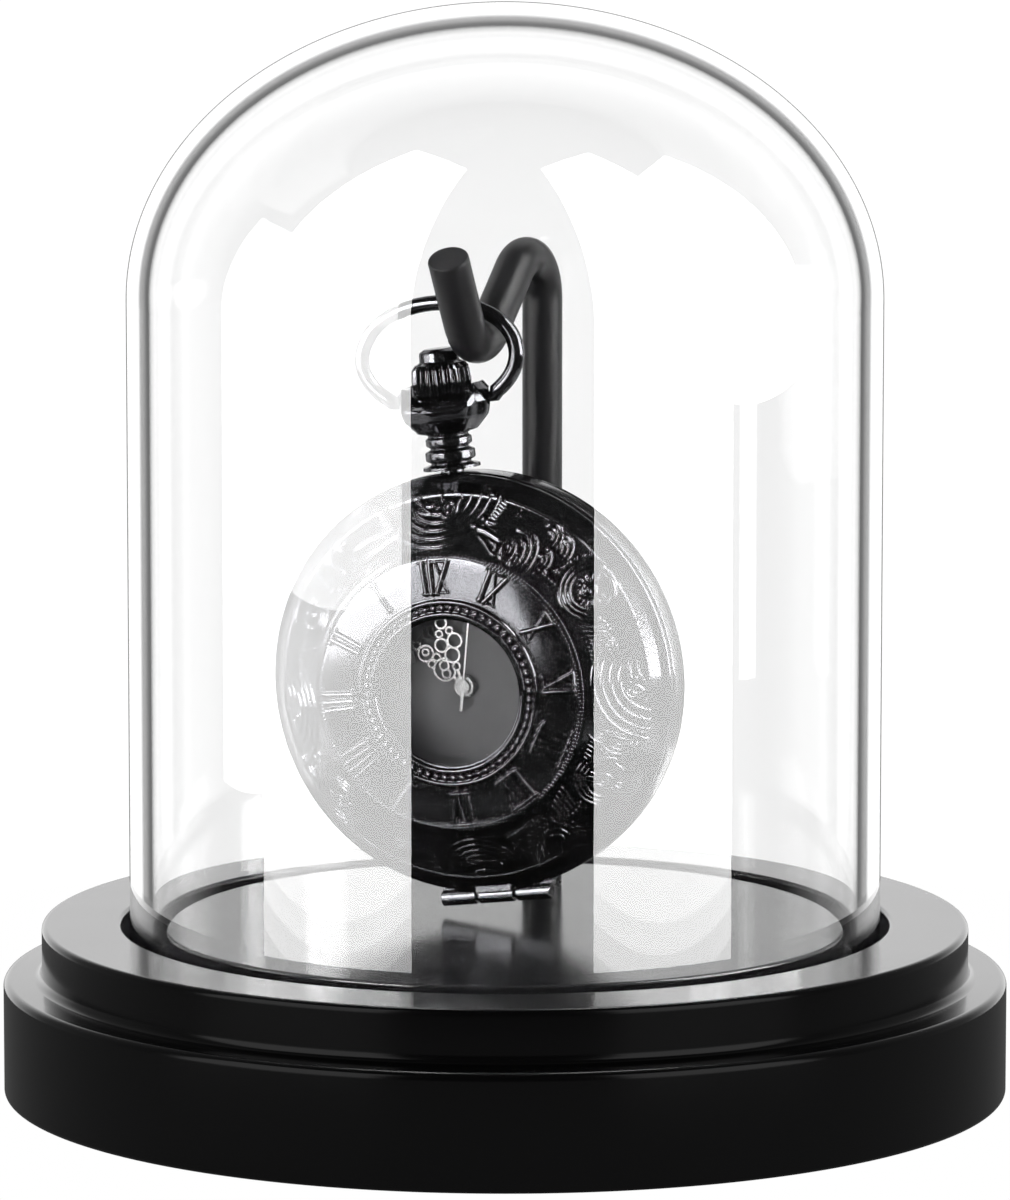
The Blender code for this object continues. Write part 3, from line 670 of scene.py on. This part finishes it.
def numeral_strokes(text):
    """The strokes of a Roman numeral as (start, end, width) in a box of height 1, centred on x = 0."""
    advance = {"I": 0.27, "V": 0.5, "X": 0.52}
    x = -sum(advance[letter] for letter in text) / 2
    strokes = []
    for letter in text:
        w = advance[letter]
        left, middle, right = x + 0.05, x + w / 2, x + w - 0.05
        if letter == "I":
            strokes.append(((middle, 0), (middle, 1), THICK))
        elif letter == "V":
            strokes += [((left, 1), (middle, 0), THICK), ((right, 1), (middle, 0), THIN)]
        else:
            strokes += [((left, 1), (right, 0), THICK), ((right, 1), (left, 0), THIN)]
        x += w
    half = sum(advance[letter] for letter in text) / 2
    strokes.append(((-half, 1), (half, 1), THIN))
    strokes.append(((-half, 0), (half, 0), THIN))
    return strokes


def numerals(relief):
    """The twelve hours, which run anticlockwise and read backwards, as on the object."""
    names = ("XII", "I", "II", "III", "IIII", "V", "VI", "VII", "VIII", "IX", "X", "XI")
    low, high = NUMERAL_RADII
    rise = high - low
    for hour, name in enumerate(names):
        for start, end, width in numeral_strokes(name):
            points = []
            for x, y in (start, end):
                radius = low + y * rise
                spread_out = 0.82 + 0.18 * y
                a = -hour * math.pi / 6
                across = -x * rise * spread_out
                points.append((radius * math.sin(a) + across * math.cos(a),
                               radius * math.cos(a) - across * math.sin(a)))
            relief.stroke(points, width, 0.34)


# ---------------- the lid

CREST = 9.9
SLOPE_PROFILE = ((14.4, 0.62), (14.75, 0.85), (15.2, 1.1), (20.6, 5.7), (21.9, 7.1), (22.5, 7.75))
LID_WALL = 0.8
COVER_RADIUS = 22.5
SEAM = 1.95
BEADS = 60
TEETH = 240


def smooth(x, low, high):
    share = np.clip((x - low) / (high - low), 0, 1)
    return share * share * (3 - 2 * share)


def lid_depth(radius):
    """How far the lid's plain surface stands in front of the band's middle, at each radius."""
    numeral_plane = CREST - 0.3 - 0.26 * (np.clip(radius - 10.1, 0, None) / 4.1) ** 1.6
    wires = 0.3 * (smooth(radius, 7.95, 8.3) - smooth(radius, 8.55, 8.75))
    wires = wires + 0.3 * (smooth(radius, 9.45, 9.65) - smooth(radius, 9.85, 10.15))
    front = numeral_plane + wires
    slope_radii, slope_falls = zip(*SLOPE_PROFILE)
    slope = CREST - np.interp(radius, slope_radii, slope_falls)
    blend = smooth(radius, 14.25, 14.6)
    return front * (1 - blend) + slope * blend


def plated(name, shape, body, stands_for=(), sharp=35):
    """A plated piece of the watch from its (points, faces)."""
    return piece(name, *shape, GUNMETAL, body, "gunmetal_plating", WATCH, stands_for, sharp)


def relief_piece(name, relief, wall, stands_for=()):
    """A ring of the lid as a closed body: its relief in front, and a plain surface a wall behind it."""
    radii = relief.radii
    depth = lid_depth(radii)
    slope = np.gradient(depth, radii)
    length = np.hypot(1, slope)
    outward, forward = -slope / length, 1 / length
    r = radii[:, None] + relief.heights * outward[:, None]
    d = depth[:, None] + relief.heights * forward[:, None]
    angles = np.arange(relief.columns) * relief.step
    front = np.stack([r * np.sin(angles), -d, r * np.cos(angles)], -1)
    keep = np.linspace(0, len(radii) - 1, 6).astype(int)[::-1]
    back_r = (radii[keep] - wall * outward[keep])[:, None]
    back_d = (depth[keep] - wall * forward[keep])[:, None]
    back_y = np.broadcast_to(-back_d, (len(keep), relief.columns))
    back = np.stack([back_r * np.sin(angles), back_y, back_r * np.cos(angles)], -1)
    points = np.concatenate([front, back]).reshape(-1, 3)
    faces = grid_faces(len(radii) + len(keep), relief.columns, loop_rows=True)
    plated(name, (points, faces), "lid", stands_for, sharp=75)


def make_lid():
    bezel = Relief(np.linspace(7.9, 10.2, 44), 1260)
    for k in range(BEADS):
        bezel.stamp([clock(9.1, (k + 0.5) * 360 / BEADS)], 0.34, 0.2)
    relief_piece("lid_bead_ring", bezel, 0.7)
    field = Relief(np.linspace(10.2, 14.3, 84), 1800)
    numerals(field)
    relief_piece("lid_numeral_ring", field, LID_WALL)
    milled = Relief(np.linspace(14.3, 15.2, 19), 2400)
    share = (np.arange(milled.columns) * TEETH / milled.columns) % 1
    tooth = np.where(share < 0.5, 0.14, 0.0)
    band = ((milled.radii > 14.42) & (milled.radii < 14.82)).astype(float)
    milled.heights = band[:, None] * tooth
    relief_piece("lid_milled_ring", milled, LID_WALL)
    slope = Relief(np.linspace(15.2, 20.85, 116), 2400)
    slope.stroke([clock(20.62, a) for a in np.linspace(0, 360, 400)], 0.24, 0.12)
    scrollwork(slope)
    relief_piece("lid_scrollwork", slope, LID_WALL, ["lid"])
    make_lid_rim()
    make_window()


def make_lid_rim():
    """The plain shoulder outside the engraving, down to the seam."""
    outer = [(20.85, CREST - 5.97, 0), (21.7, CREST - 6.9, 1.2), (COVER_RADIUS, SEAM + 0.5, 0.35),
             (COVER_RADIUS, SEAM, 0.12), (COVER_RADIUS - 0.9, SEAM, 0)]
    inner = [(21.2, SEAM + 0.5), (20.4, CREST - 6.55)]
    rim = plated("lid_rim", revolve(fillet(outer, 8) + inner, 360, closed=True, facing=True), "lid")
    cut_hinge_space(rim, HINGE_LENGTH / 2 + GAP / 2)
    knuckle = LID_KNUCKLE / 2
    points, faces = knuckle_shape(-knuckle, knuckle)
    add_shape(points, faces, *leaf_shape(-knuckle, knuckle, -SEAM - 0.95, -SEAM - 0.05, -21.5))
    plated("lid_knuckle", (points, faces), "lid")


def make_window():
    front = CREST - 1.1
    corners = [(0, front, 0), (9.3, front, 0.12), (9.3, front - 0.7, 0.12), (0, front - 0.7, 0)]
    points, faces = revolve(fillet(corners, 4), 128, facing=True)
    piece("window", points, faces, CRYSTAL, "lid", "watch_crystal", WATCH, ["lid_window"])


# ---------------- the case

HINGE_UP = -22.95
HINGE_FORWARD = 1.8
HINGE_LENGTH = 12.4
LID_KNUCKLE = 4.0
HINGE_SPACE = 1.15
CASE_RADIUS = 22.6
BAND_HALF = 1.65
BAND_INNER = 21.2


def add_shape(points, faces, more_points, more_faces):
    """Adds a second shape's points and faces to a first one's."""
    first = len(points)
    points.extend(more_points)
    faces.extend(tuple(first + i for i in face) for face in more_faces)


def leaf_shape(start, end, front, back, top):
    """The flat leaf that joins a hinge knuckle to its cover, from the knuckle up to top."""
    corners = ((start, front), (end, front), (end, back), (start, back))
    points = [(x, y, z) for z in (HINGE_UP + 0.5, top) for x, y in corners]
    sides = [(k, (k + 1) % 4, 4 + (k + 1) % 4, 4 + k) for k in range(4)]
    return points, [(3, 2, 1, 0), (4, 5, 6, 7)] + sides


def knuckle_shape(start, end):
    """A hinge knuckle with its edges eased, bored for the pin."""
    outer, bore, ease = 0.85, 0.55, 0.1
    profile = [(start, bore), (start, outer - ease), (start + ease, outer), (end - ease, outer),
               (end, outer - ease), (end, bore)]
    columns = 32
    points = []
    for x, radius in profile:
        for k in range(columns):
            a = 2 * math.pi * k / columns
            points.append((x, -HINGE_FORWARD + radius * math.cos(a), HINGE_UP - radius * math.sin(a)))
    return points, grid_faces(len(profile), columns, loop_rows=True)


def cut_hinge_space(obj, half):
    """Cuts room for the hinge's knuckles, half to each side of 6 o'clock."""
    path = [(side * half, -HINGE_FORWARD, HINGE_UP) for side in (-1, 1)]
    cut(obj, *sweep(path, HINGE_SPACE, 24), axes=WATCH)


def make_case():
    bevel = 0.35
    corners = [
        (BAND_INNER, BAND_HALF, 0),
        (CASE_RADIUS - bevel, BAND_HALF, 0.1),
        (CASE_RADIUS, BAND_HALF - bevel, 0.2),
        (CASE_RADIUS, -BAND_HALF + bevel, 0.2),
        (CASE_RADIUS - bevel, -BAND_HALF, 0.1),
        (BAND_INNER, -BAND_HALF, 0),
    ]
    shape = revolve(fillet(corners, 6), 360, closed=True, facing=True)
    band = plated("band", shape, "watch_case", ["case_band"])
    cut(band, *sweep([(0, 0, 20), (0, 0, 24)], 1.6, 32), axes=WATCH)
    half = LID_KNUCKLE / 2 + GAP
    cut_hinge_space(band, half)
    for side in (-1, 1):
        ends = sorted((side * half, side * HINGE_LENGTH / 2))
        points, faces = knuckle_shape(*ends)
        add_shape(points, faces, *leaf_shape(*ends, -BAND_HALF + 0.05, -BAND_HALF + 1.35, -21.9))
        name = "left" if side < 0 else "right"
        plated(f"case_knuckle_{name}", (points, faces), "watch_case")


def make_back():
    """The back cover: a shallow dome with a wide rim and fine rings turned into it."""
    columns = 720
    radii = np.concatenate([np.linspace(0.05, 20.4, 120), np.linspace(20.5, COVER_RADIUS, 14)])
    crest = 4.8
    depth = 2.6 + (crest - 2.6) * (1 - (radii / COVER_RADIUS) ** 6)
    rings = 0.05 * np.cos(radii * 2 * math.pi / 0.6) * smooth(radii, 2, 4) * (1 - smooth(radii, 17.2, 17.6))
    border = 0.16 * (smooth(radii, 17.6, 17.9) - smooth(radii, 18.4, 18.7))
    border = border + 0.16 * (smooth(radii, 19.8, 20.0) - smooth(radii, 20.4, 20.6))
    angles = np.arange(columns) * 2 * math.pi / columns
    depth = depth[:, None] + (rings + border)[:, None] - 0.16
    rope = 0.1 * (smooth(radii, 18.7, 18.9) - smooth(radii, 19.6, 19.8))[:, None]
    depth = depth + rope * np.cos(angles * 90 + radii[:, None] * 4)
    outer = np.stack([radii[:, None] * np.sin(angles), depth, radii[:, None] * np.cos(angles)], -1)
    inner_radii = np.array([COVER_RADIUS, 21.0, 20.6, 20.3, 18.0, 12.0, 0.05])
    inner_depth = np.array([SEAM, SEAM, 0.9, 0.9, 2.9, 3.3, 3.4])
    inner_y = np.broadcast_to(inner_depth[:, None], (len(inner_radii), columns))
    inner_r = inner_radii[:, None]
    inner = np.stack([inner_r * np.sin(angles), inner_y, inner_r * np.cos(angles)], -1)
    points = np.concatenate([outer, inner]).reshape(-1, 3)
    rows = len(radii) + len(inner_radii)
    faces = [face[::-1] for face in grid_faces(rows, columns, loop_rows=True)]
    plated("back", (points, faces), "watch_case", ["back_cover"], sharp=60)


def make_inner_bezel():
    corners = [
        (15.9, 4.7, 0), (15.9, 3.95, 0), (16.95, 3.95, 0), (16.95, 1.25, 0), (20.85, 1.25, 0),
        (20.85, 1.9, 0.1), (20.2, 2.9, 0.3), (17.3, 5.45, 0.3), (16.85, 5.55, 0.05), (16.85, 4.7, 0),
    ]
    shape = revolve(fillet(corners, 5)[::-1], 256, closed=True, facing=True)
    plated("inner_bezel", shape, "watch_case", ["dial_bezel"])
    corners = [(0, 5.6, 0), (16.45, 5.6, 0.1), (16.45, 5.05, 0.1), (0, 5.05, 0)]
    points, faces = revolve(fillet(corners, 4), 160, facing=True)
    piece("crystal", points, faces, CRYSTAL, "watch_case", "watch_crystal", WATCH, ["dial_crystal"])


# ---------------- dial and hands

DIAL_FACE = 3.6
MARK_END = 15.7
NUMBER_RADIUS = 6.9
HAND_THICKNESS = 0.12


def make_dial():
    outline = [(0.9, DIAL_FACE), (16.6, DIAL_FACE), (16.6, DIAL_FACE - 0.35), (0.9, DIAL_FACE - 0.35)]
    points, faces = revolve(outline, 160, closed=True, facing=True)
    piece("dial_plate", points, faces, DIAL, "watch_case", "dial_paint", WATCH, ["dial"])
    make_minute_track()
    make_numbers()


def make_minute_track():
    """Sixty printed marks round the dial's edge, with a longer and wider one every five minutes."""
    points, faces = [], []
    for minute in range(60):
        low, width = (14.7, 0.3) if minute % 5 == 0 else (15.3, 0.14)
        turn = minute * math.pi / 30
        along = np.array((math.sin(turn), math.cos(turn)))
        add_bar(points, faces, along * low, along * MARK_END, width, DIAL_FACE + 0.03)
    piece("minute_track", points, faces, PRINT, "watch_case", "dial_paint", WATCH)


def make_numbers():
    """The afternoon hours in small figures on the dial, reversed like the numerals round the lid."""
    upright = Matrix.Rotation(math.pi / 2, 4, "X") @ Matrix.Diagonal((-1, 1, 1, 1))
    build = bmesh.new()
    for hour in range(1, 13):
        curve = bpy.data.curves.new("figures", "FONT")
        curve.body = str(hour + 12)
        curve.align_x = "CENTER"
        curve.align_y = "CENTER"
        curve.size = 1.9
        curve.extrude = 0.015
        helper = bpy.data.objects.new("figures", curve)
        bpy.context.scene.collection.objects.link(helper)
        mesh = evaluated_mesh(helper)
        bpy.data.objects.remove(helper)
        x, y = clock(NUMBER_RADIUS, -hour * 30)
        mesh.transform(Matrix.Translation((x, -DIAL_FACE - 0.02, y)) @ upright)
        build.from_mesh(mesh)
    points = [tuple(v.co) for v in build.verts]
    faces = [tuple(v.index for v in reversed(face.verts)) for face in build.faces]
    build.free()
    piece("hour_numbers", points, faces, PRINT, "watch_case", "dial_paint", WATCH)


def ring(centre, radius, count=40):
    angles = np.radians(np.linspace(0, 360, count, endpoint=False))
    return [(centre[0] + radius * math.cos(a), centre[1] + radius * math.sin(a)) for a in angles]


def pierced_hand(body, loops, length, hub, bore, front, turn):
    """A hand of round loops along a thin blade, with a plain hub. A loop is (distance, radius, aside)."""
    lines = []
    for at, radius, aside in loops:
        lines.append((ring((aside, at), radius), 0.2))
    lines.append(([(0, hub * 0.9), (0, loops[0][0] - loops[0][1])], 0.3))
    lines.append(([(0, loops[-1][0] + loops[-1][1]), (0, length)], 0.26))
    points, faces = [], []
    for line, width in lines:
        closed = len(line) > 2
        line = np.asarray(line, float)
        path = np.concatenate([line, line[:1]]) if closed else line
        for start, end in zip(path, path[1:]):
            add_bar(points, faces, start, end, width, front)
    add_disc(points, faces, hub, bore, front)
    make_hand(body, points, faces, turn)


def make_hand(body, points, faces, turn):
    name = "hand_" + body.removesuffix("_hand")
    piece(name, points, faces, BRIGHT, body, "bright_hands", WATCH @ Matrix.Rotation(turn, 4, "Y"), [body])


def add_bar(points, faces, start, end, width, front):
    """A short flat bar between two points of the dial's plane, a little longer than their distance."""
    start, end = np.asarray(start), np.asarray(end)
    along = (end - start) / np.linalg.norm(end - start)
    across = np.array((-along[1], along[0])) * width / 2
    start, end = start - along * 0.03, end + along * 0.03
    first = len(points)
    for x, y in (start - across, start + across, end + across, end - across):
        points.append((x, -front, y))
        points.append((x, -front + HAND_THICKNESS, y))
    for a, b in ((0, 1), (1, 2), (2, 3), (3, 0)):
        faces.append(tuple(first + i for i in (2 * a, 2 * b, 2 * b + 1, 2 * a + 1)))
    faces.append((first, first + 2, first + 4, first + 6))
    faces.append((first + 7, first + 5, first + 3, first + 1))


def add_disc(points, faces, radius, bore, front):
    """A flat ring, or a button when bore is 0."""
    back = front - 0.14
    outline = [(bore, front), (radius - 0.08, front), (radius, front - 0.06), (radius, back), (bore, back)]
    add_shape(points, faces, *revolve(outline, 48, closed=bore > 0, facing=True))


def make_hands():
    hour_loops = (
        (2.8, 1.2, 0), (3.1, 0.5, 0.3), (2.4, 0.45, -0.25), (4.3, 0.4, 0.45), (4.3, 0.4, -0.45),
        (5.5, 0.85, 0), (5.6, 0.35, 0.1), (6.8, 0.4, 0),
    )
    pierced_hand("hour_hand", hour_loops, 7.6, 1.3, 0.6, DIAL_FACE + 0.4, -math.radians(46))
    minute_loops = (
        (2.3, 0.4, 0), (3.6, 0.8, 0), (4.95, 0.7, -0.8), (4.95, 0.78, 0.8), (6.15, 0.36, -0.62),
        (6.15, 0.36, 0.62), (7.2, 0.6, 0), (8.4, 0.4, 0),
    )
    pierced_hand("minute_hand", minute_loops, 11.2, 1.15, 0.6, DIAL_FACE + 0.75, -math.radians(14))
    points, faces = [], []
    front = DIAL_FACE + 1.05
    add_bar(points, faces, (0, 0.6), (0, 11.8), 0.17, front)
    add_bar(points, faces, (0, -2.6), (0, -0.6), 0.32, front)
    add_disc(points, faces, 0.75, 0.0, front)
    make_hand("seconds_hand", points, faces, math.radians(12))


# ---------------- pendant, crown and bow


CUP_WAIST = 29.2
CUP_BORE = 3.3


def fluted(outline, columns, flutes, depth, low, high):
    """A turned shape whose outer face between two heights is cut by flutes."""
    points, faces = revolve(outline, columns, closed=outline[0][0] > 0)
    shaped = []
    for x, y, z in points:
        radius = math.hypot(x, y)
        if radius > 1e-6 and low <= z <= high:
            angle = math.atan2(y, x)
            fall = depth * (0.5 - 0.5 * math.cos(flutes * angle)) * radius
            x, y = x * (1 - fall / radius), y * (1 - fall / radius)
        shaped.append((x, y, z))
    return shaped, faces


def lowered(x, y, z):
    """The cup's rim dips in front and behind, where the crown shows over it."""
    rise = z - CUP_WAIST
    reach = math.hypot(x, y)
    if rise <= 0 or reach < CUP_BORE:
        return z
    return CUP_WAIST + rise * (1 - 0.7 * smooth(abs(y) / reach, 0.35, 0.85))


def make_pendant():
    neck = [
        (3.65, 31.75, 0.1), (4.4, 32.0, 0.15), (5.05, 31.1, 0.5), (5.2, 30.0, 1.2), (4.8, 28.4, 1.2),
        (3.4, 27, 0.6),
        (2.0, 26.6, 0.15), (2.5, 26.25, 0.2), (2.5, 25.55, 0.2), (2.0, 25.2, 0.08), (2.7, 24.85, 0.22),
        (2.7, 23.95, 0.22), (2.0, 23.6, 0.1), (3.1, 23.3, 0.12), (3.1, 22.95, 0), (1.3, 22.95, 0),
        (1.3, 21.05, 0),
        (0.95, 21.05, 0), (0.95, 28.85, 0), (3.65, 28.85, 0),
    ]
    points, faces = fluted(fillet(neck, 7), 288, 8, 0.06, 27.0, 31.2)
    points = [(x, y, lowered(x, y, z)) for x, y, z in points]
    pendant = plated("pendant_cup", (points, faces), "watch_case", ["pendant"])
    cut(pendant, *sweep([(-6.5, 0, 30.2), (6.5, 0, 30.2)], 0.8, 32), axes=WATCH)


def make_crown():
    outline = [
        (0, 35.95, 0), (1.5, 35.85, 0.5), (2.1, 35.5, 0.3), (2.15, 34.5, 0.2), (2.7, 34.25, 0.25),
        (3.1, 33.7, 0.5), (3.25, 32.3, 2), (2.95, 30.9, 0.6), (2.4, 30.3, 0.3), (1.2, 29.95, 0.1),
        (0, 29.95, 0),
    ]
    plated("crown_knob", fluted(fillet(outline, 8), 528, 22, 0.13, 30.4, 34.2), "crown", ["crown"])


def make_bow():
    wire, pivot = 0.85, 0.55
    half_width, half_height, middle = 8.8, 5.7, 34.9
    start = math.asin(6.1 / half_width)
    path = [(3.9, 0, 30.2), (5.3, 0, 30.2), (5.75, 0, 30.25)]
    radii = [pivot, pivot, wire * 0.85]
    steps = 96
    for i in range(steps + 1):
        a = start + (2 * math.pi - 2 * start) * i / steps
        path.append((half_width * math.sin(a), 0, middle - half_height * math.cos(a)))
        radii.append(wire)
    path += [(-5.75, 0, 30.25), (-5.3, 0, 30.2), (-3.9, 0, 30.2)]
    radii += [wire * 0.85, pivot, pivot]
    plated("bow_ring", sweep(path, radii, 32), "bow", ["bow"])


# ---------------- what stays from the frame


def dress(nodes, material):
    for name in nodes:
        slots = frame["nodes"][name].data.materials
        slots.clear()
        slots.append(material)


# ---------------- studio

CAMERA_RISE = math.radians(8.291)
CAMERA_DISTANCE = 850
AIM = (0, 0, 52.7)
LENS = 240.25
FLOOR_RADIUS = 132
FLOOR_GLOW = 0.11
THROUGH_GLASS = (
    (0, 0.72), (9, 0.7), (14, 0.86), (25, 0.74), (28, 0.03), (36, 0.03), (41, 0.8), (62, 0.8), (80, 0.02),
)
MIRRORED = ((0, 0), (9, 0.05), (13, 1), (28, 1), (50, 0.12), (90, 0.06), (110, 0.015))
WHITE = (1, 1, 1, 1)
SEEN_STRENGTH = 1.06
BOUNCED_STRENGTH = 1.5
SOFTBOX_DISTANCE = 420


def make_camera():
    data = bpy.data.cameras.new("camera")
    data.lens = LENS
    data.sensor_width = 36
    data.clip_start = 0.01
    camera = bpy.data.objects.new("camera", data)
    back = Vector((0, -math.cos(CAMERA_RISE), math.sin(CAMERA_RISE)))
    camera.location = (Vector(AIM) + back * CAMERA_DISTANCE) * MM
    camera.rotation_euler = (-back).to_track_quat("-Z", "Y").to_euler()
    bpy.context.scene.collection.objects.link(camera)
    bpy.context.scene.camera = camera


def make_floor():
    """A round table top, white as the camera sees it and almost black as the base mirrors it."""
    material = bpy.data.materials.new("floor")
    material.use_nodes = True
    nodes, links, shader = tree(material)
    nodes.remove(shader)
    source = nodes.new("ShaderNodeTexCoord")
    axes = nodes.new("ShaderNodeSeparateXYZ")
    links.new(source.outputs["Object"], axes.inputs["Vector"])
    fade = nodes.new("ShaderNodeMapRange")
    fade.interpolation_type = "SMOOTHSTEP"
    fade.inputs["From Min"].default_value = -95 * MM
    fade.inputs["From Max"].default_value = -20 * MM
    fade.inputs["To Min"].default_value = 0.1
    fade.inputs["To Max"].default_value = 1.0
    links.new(axes.outputs["Y"], fade.inputs["Value"])
    path = nodes.new("ShaderNodeLightPath")
    through = calculate(nodes, links, "MULTIPLY", fade.outputs["Result"], path.outputs["Is Transmission Ray"])
    seen = calculate(nodes, links, "MAXIMUM", through, path.outputs["Is Camera Ray"])
    emission = nodes.new("ShaderNodeEmission")
    links.new(calculate(nodes, links, "MAXIMUM", seen, FLOOR_GLOW), emission.inputs["Strength"])
    links.new(emission.outputs["Emission"], nodes["Material Output"].inputs["Surface"])
    mesh = bpy.data.meshes.new("floor")
    build = bmesh.new()
    bmesh.ops.create_circle(build, cap_ends=True, segments=128, radius=FLOOR_RADIUS * MM)
    build.to_mesh(mesh)
    build.free()
    floor = bpy.data.objects.new("floor", mesh)
    mesh.materials.append(material)
    bpy.context.scene.collection.objects.link(floor)


def falloff(nodes, links, half_turns, stops):
    """Brightness by the angle from straight ahead, from (degrees, level) stops."""
    ramp = nodes.new("ShaderNodeValToRGB")
    links.new(half_turns, ramp.inputs["Fac"])
    while len(ramp.color_ramp.elements) < len(stops):
        ramp.color_ramp.elements.new(0.5)
    for element, (degrees, level) in zip(ramp.color_ramp.elements, stops):
        element.position = degrees / 180
        element.color = (level, level, level, 1)
    return ramp.outputs["Color"]


def make_world():
    """White where the camera sees it. Through glass and in reflections it follows stops of its own.

    The dark ring from 28 to 36 degrees is what draws the glass's edges. A ray through clear glass counts as
    glossy too, so it gets the bounced strength."""
    world = bpy.data.worlds.new("studio")
    world.use_nodes = True
    bpy.context.scene.world = world
    nodes, links = world.node_tree.nodes, world.node_tree.links
    source = nodes.new("ShaderNodeTexCoord")
    onward = nodes.new("ShaderNodeVectorMath")
    onward.operation = "DOT_PRODUCT"
    onward.inputs[1].default_value = (0, math.cos(CAMERA_RISE), -math.sin(CAMERA_RISE))
    links.new(source.outputs["Generated"], onward.inputs[0])
    angle = calculate(nodes, links, "ARCCOSINE", onward.outputs["Value"])
    half_turns = calculate(nodes, links, "DIVIDE", angle, math.pi)
    through = falloff(nodes, links, half_turns, THROUGH_GLASS)
    mirrored = falloff(nodes, links, half_turns, MIRRORED)
    path = nodes.new("ShaderNodeLightPath")
    background = nodes["Background"]
    bounced = tint(nodes, links, path.outputs["Is Transmission Ray"], mirrored, through)
    links.new(tint(nodes, links, path.outputs["Is Camera Ray"], bounced, WHITE), background.inputs["Color"])
    strength = spread(nodes, links, path.outputs["Is Glossy Ray"], SEEN_STRENGTH, BOUNCED_STRENGTH)
    links.new(strength, background.inputs["Strength"])


def make_light_groups():
    """A collection with only the dome's glass in it, and one with everything else."""
    dome_only = bpy.data.collections.new("dome_only")
    all_but_dome = bpy.data.collections.new("all_but_dome")
    for obj in bpy.data.objects:
        if obj.type == "MESH":
            (dome_only if obj.name == "dome" else all_but_dome).objects.link(obj)
    return dome_only, all_but_dome


def make_softbox(name, azimuth, span, low, high, strength, lights=None, through_glass=False):
    """An upright panel in front of the object, from azimuth and span in degrees, seen from the glass's axis.

    lights is the only collection that it lights. through_glass makes it show only through the glass, so that
    the watch mirrors it and the dome in front of the watch doesn't."""
    width = 2 * SOFTBOX_DISTANCE * math.tan(math.radians(span / 2))
    data = bpy.data.lights.new(name, "AREA")
    data.shape = "RECTANGLE"
    data.size = width * MM
    data.size_y = (high - low) * MM
    data.energy = strength * math.pi * data.size * data.size_y
    lamp = bpy.data.objects.new(name, data)
    a = math.radians(azimuth)
    inward = Vector((-math.sin(a), math.cos(a), 0))
    lamp.location = (Vector((0, 0, (low + high) / 2)) - inward * SOFTBOX_DISTANCE) * MM
    lamp.rotation_euler = inward.to_track_quat("-Z", "Y").to_euler()
    lamp.visible_camera = False
    lamp.visible_transmission = through_glass
    lamp.visible_glossy = not through_glass
    lamp.visible_diffuse = not through_glass
    lamp.light_linking.receiver_collection = lights
    bpy.context.scene.collection.objects.link(lamp)


def make_strip(name, azimuth, span, strength, lights):
    """A tall softbox made of steps, weaker towards its foot."""
    edges = (-200, -62, -57, -52, -47, 1400)
    for step, share in enumerate((0.42, 0.55, 0.7, 0.85, 1.0)):
        make_softbox(f"{name}_{step}", azimuth, span, edges[step], edges[step + 1], strength * share, lights)


make_camera()
make_base()
make_hook()
make_dome()
make_case()
make_back()
make_inner_bezel()
make_dial()
make_hands()
make_lid()
make_pendant()
make_crown()
make_bow()
dress(["base_pad"], FELT)
dress(["hook_washer", "hook_nut", "movement", "battery", "lock_spring", "lift_spring", "stem"], PLATING)
dress(["hinge_pin"], GUNMETAL)
dress(["movement_ring"], PLASTIC)
make_floor()
make_world()
dome_only, all_but_dome = make_light_groups()
make_strip("left_strip", -51, 48, 13.5, dome_only)
make_strip("right_strip", 47.5, 44, 13.0, dome_only)
make_softbox("left_softbox", -51, 48, -42, 420, 0.7, lights=all_but_dome)
make_softbox("right_softbox", 47.5, 44, -42, 420, 0.7, lights=all_but_dome)
make_softbox("watch_panel_low", -53, 44, 0, 75, 7.0, through_glass=True)
make_softbox("watch_panel_high", -46, 28, 75, 330, 16.0, through_glass=True)
make_softbox("watch_panel_side", -85, 20, -30, 337, 5.0, through_glass=True)
make_softbox("watch_panel_right", 80, 44, 30, 770, 12.0, through_glass=True)
bpy.context.scene.view_settings.view_transform = "Standard"
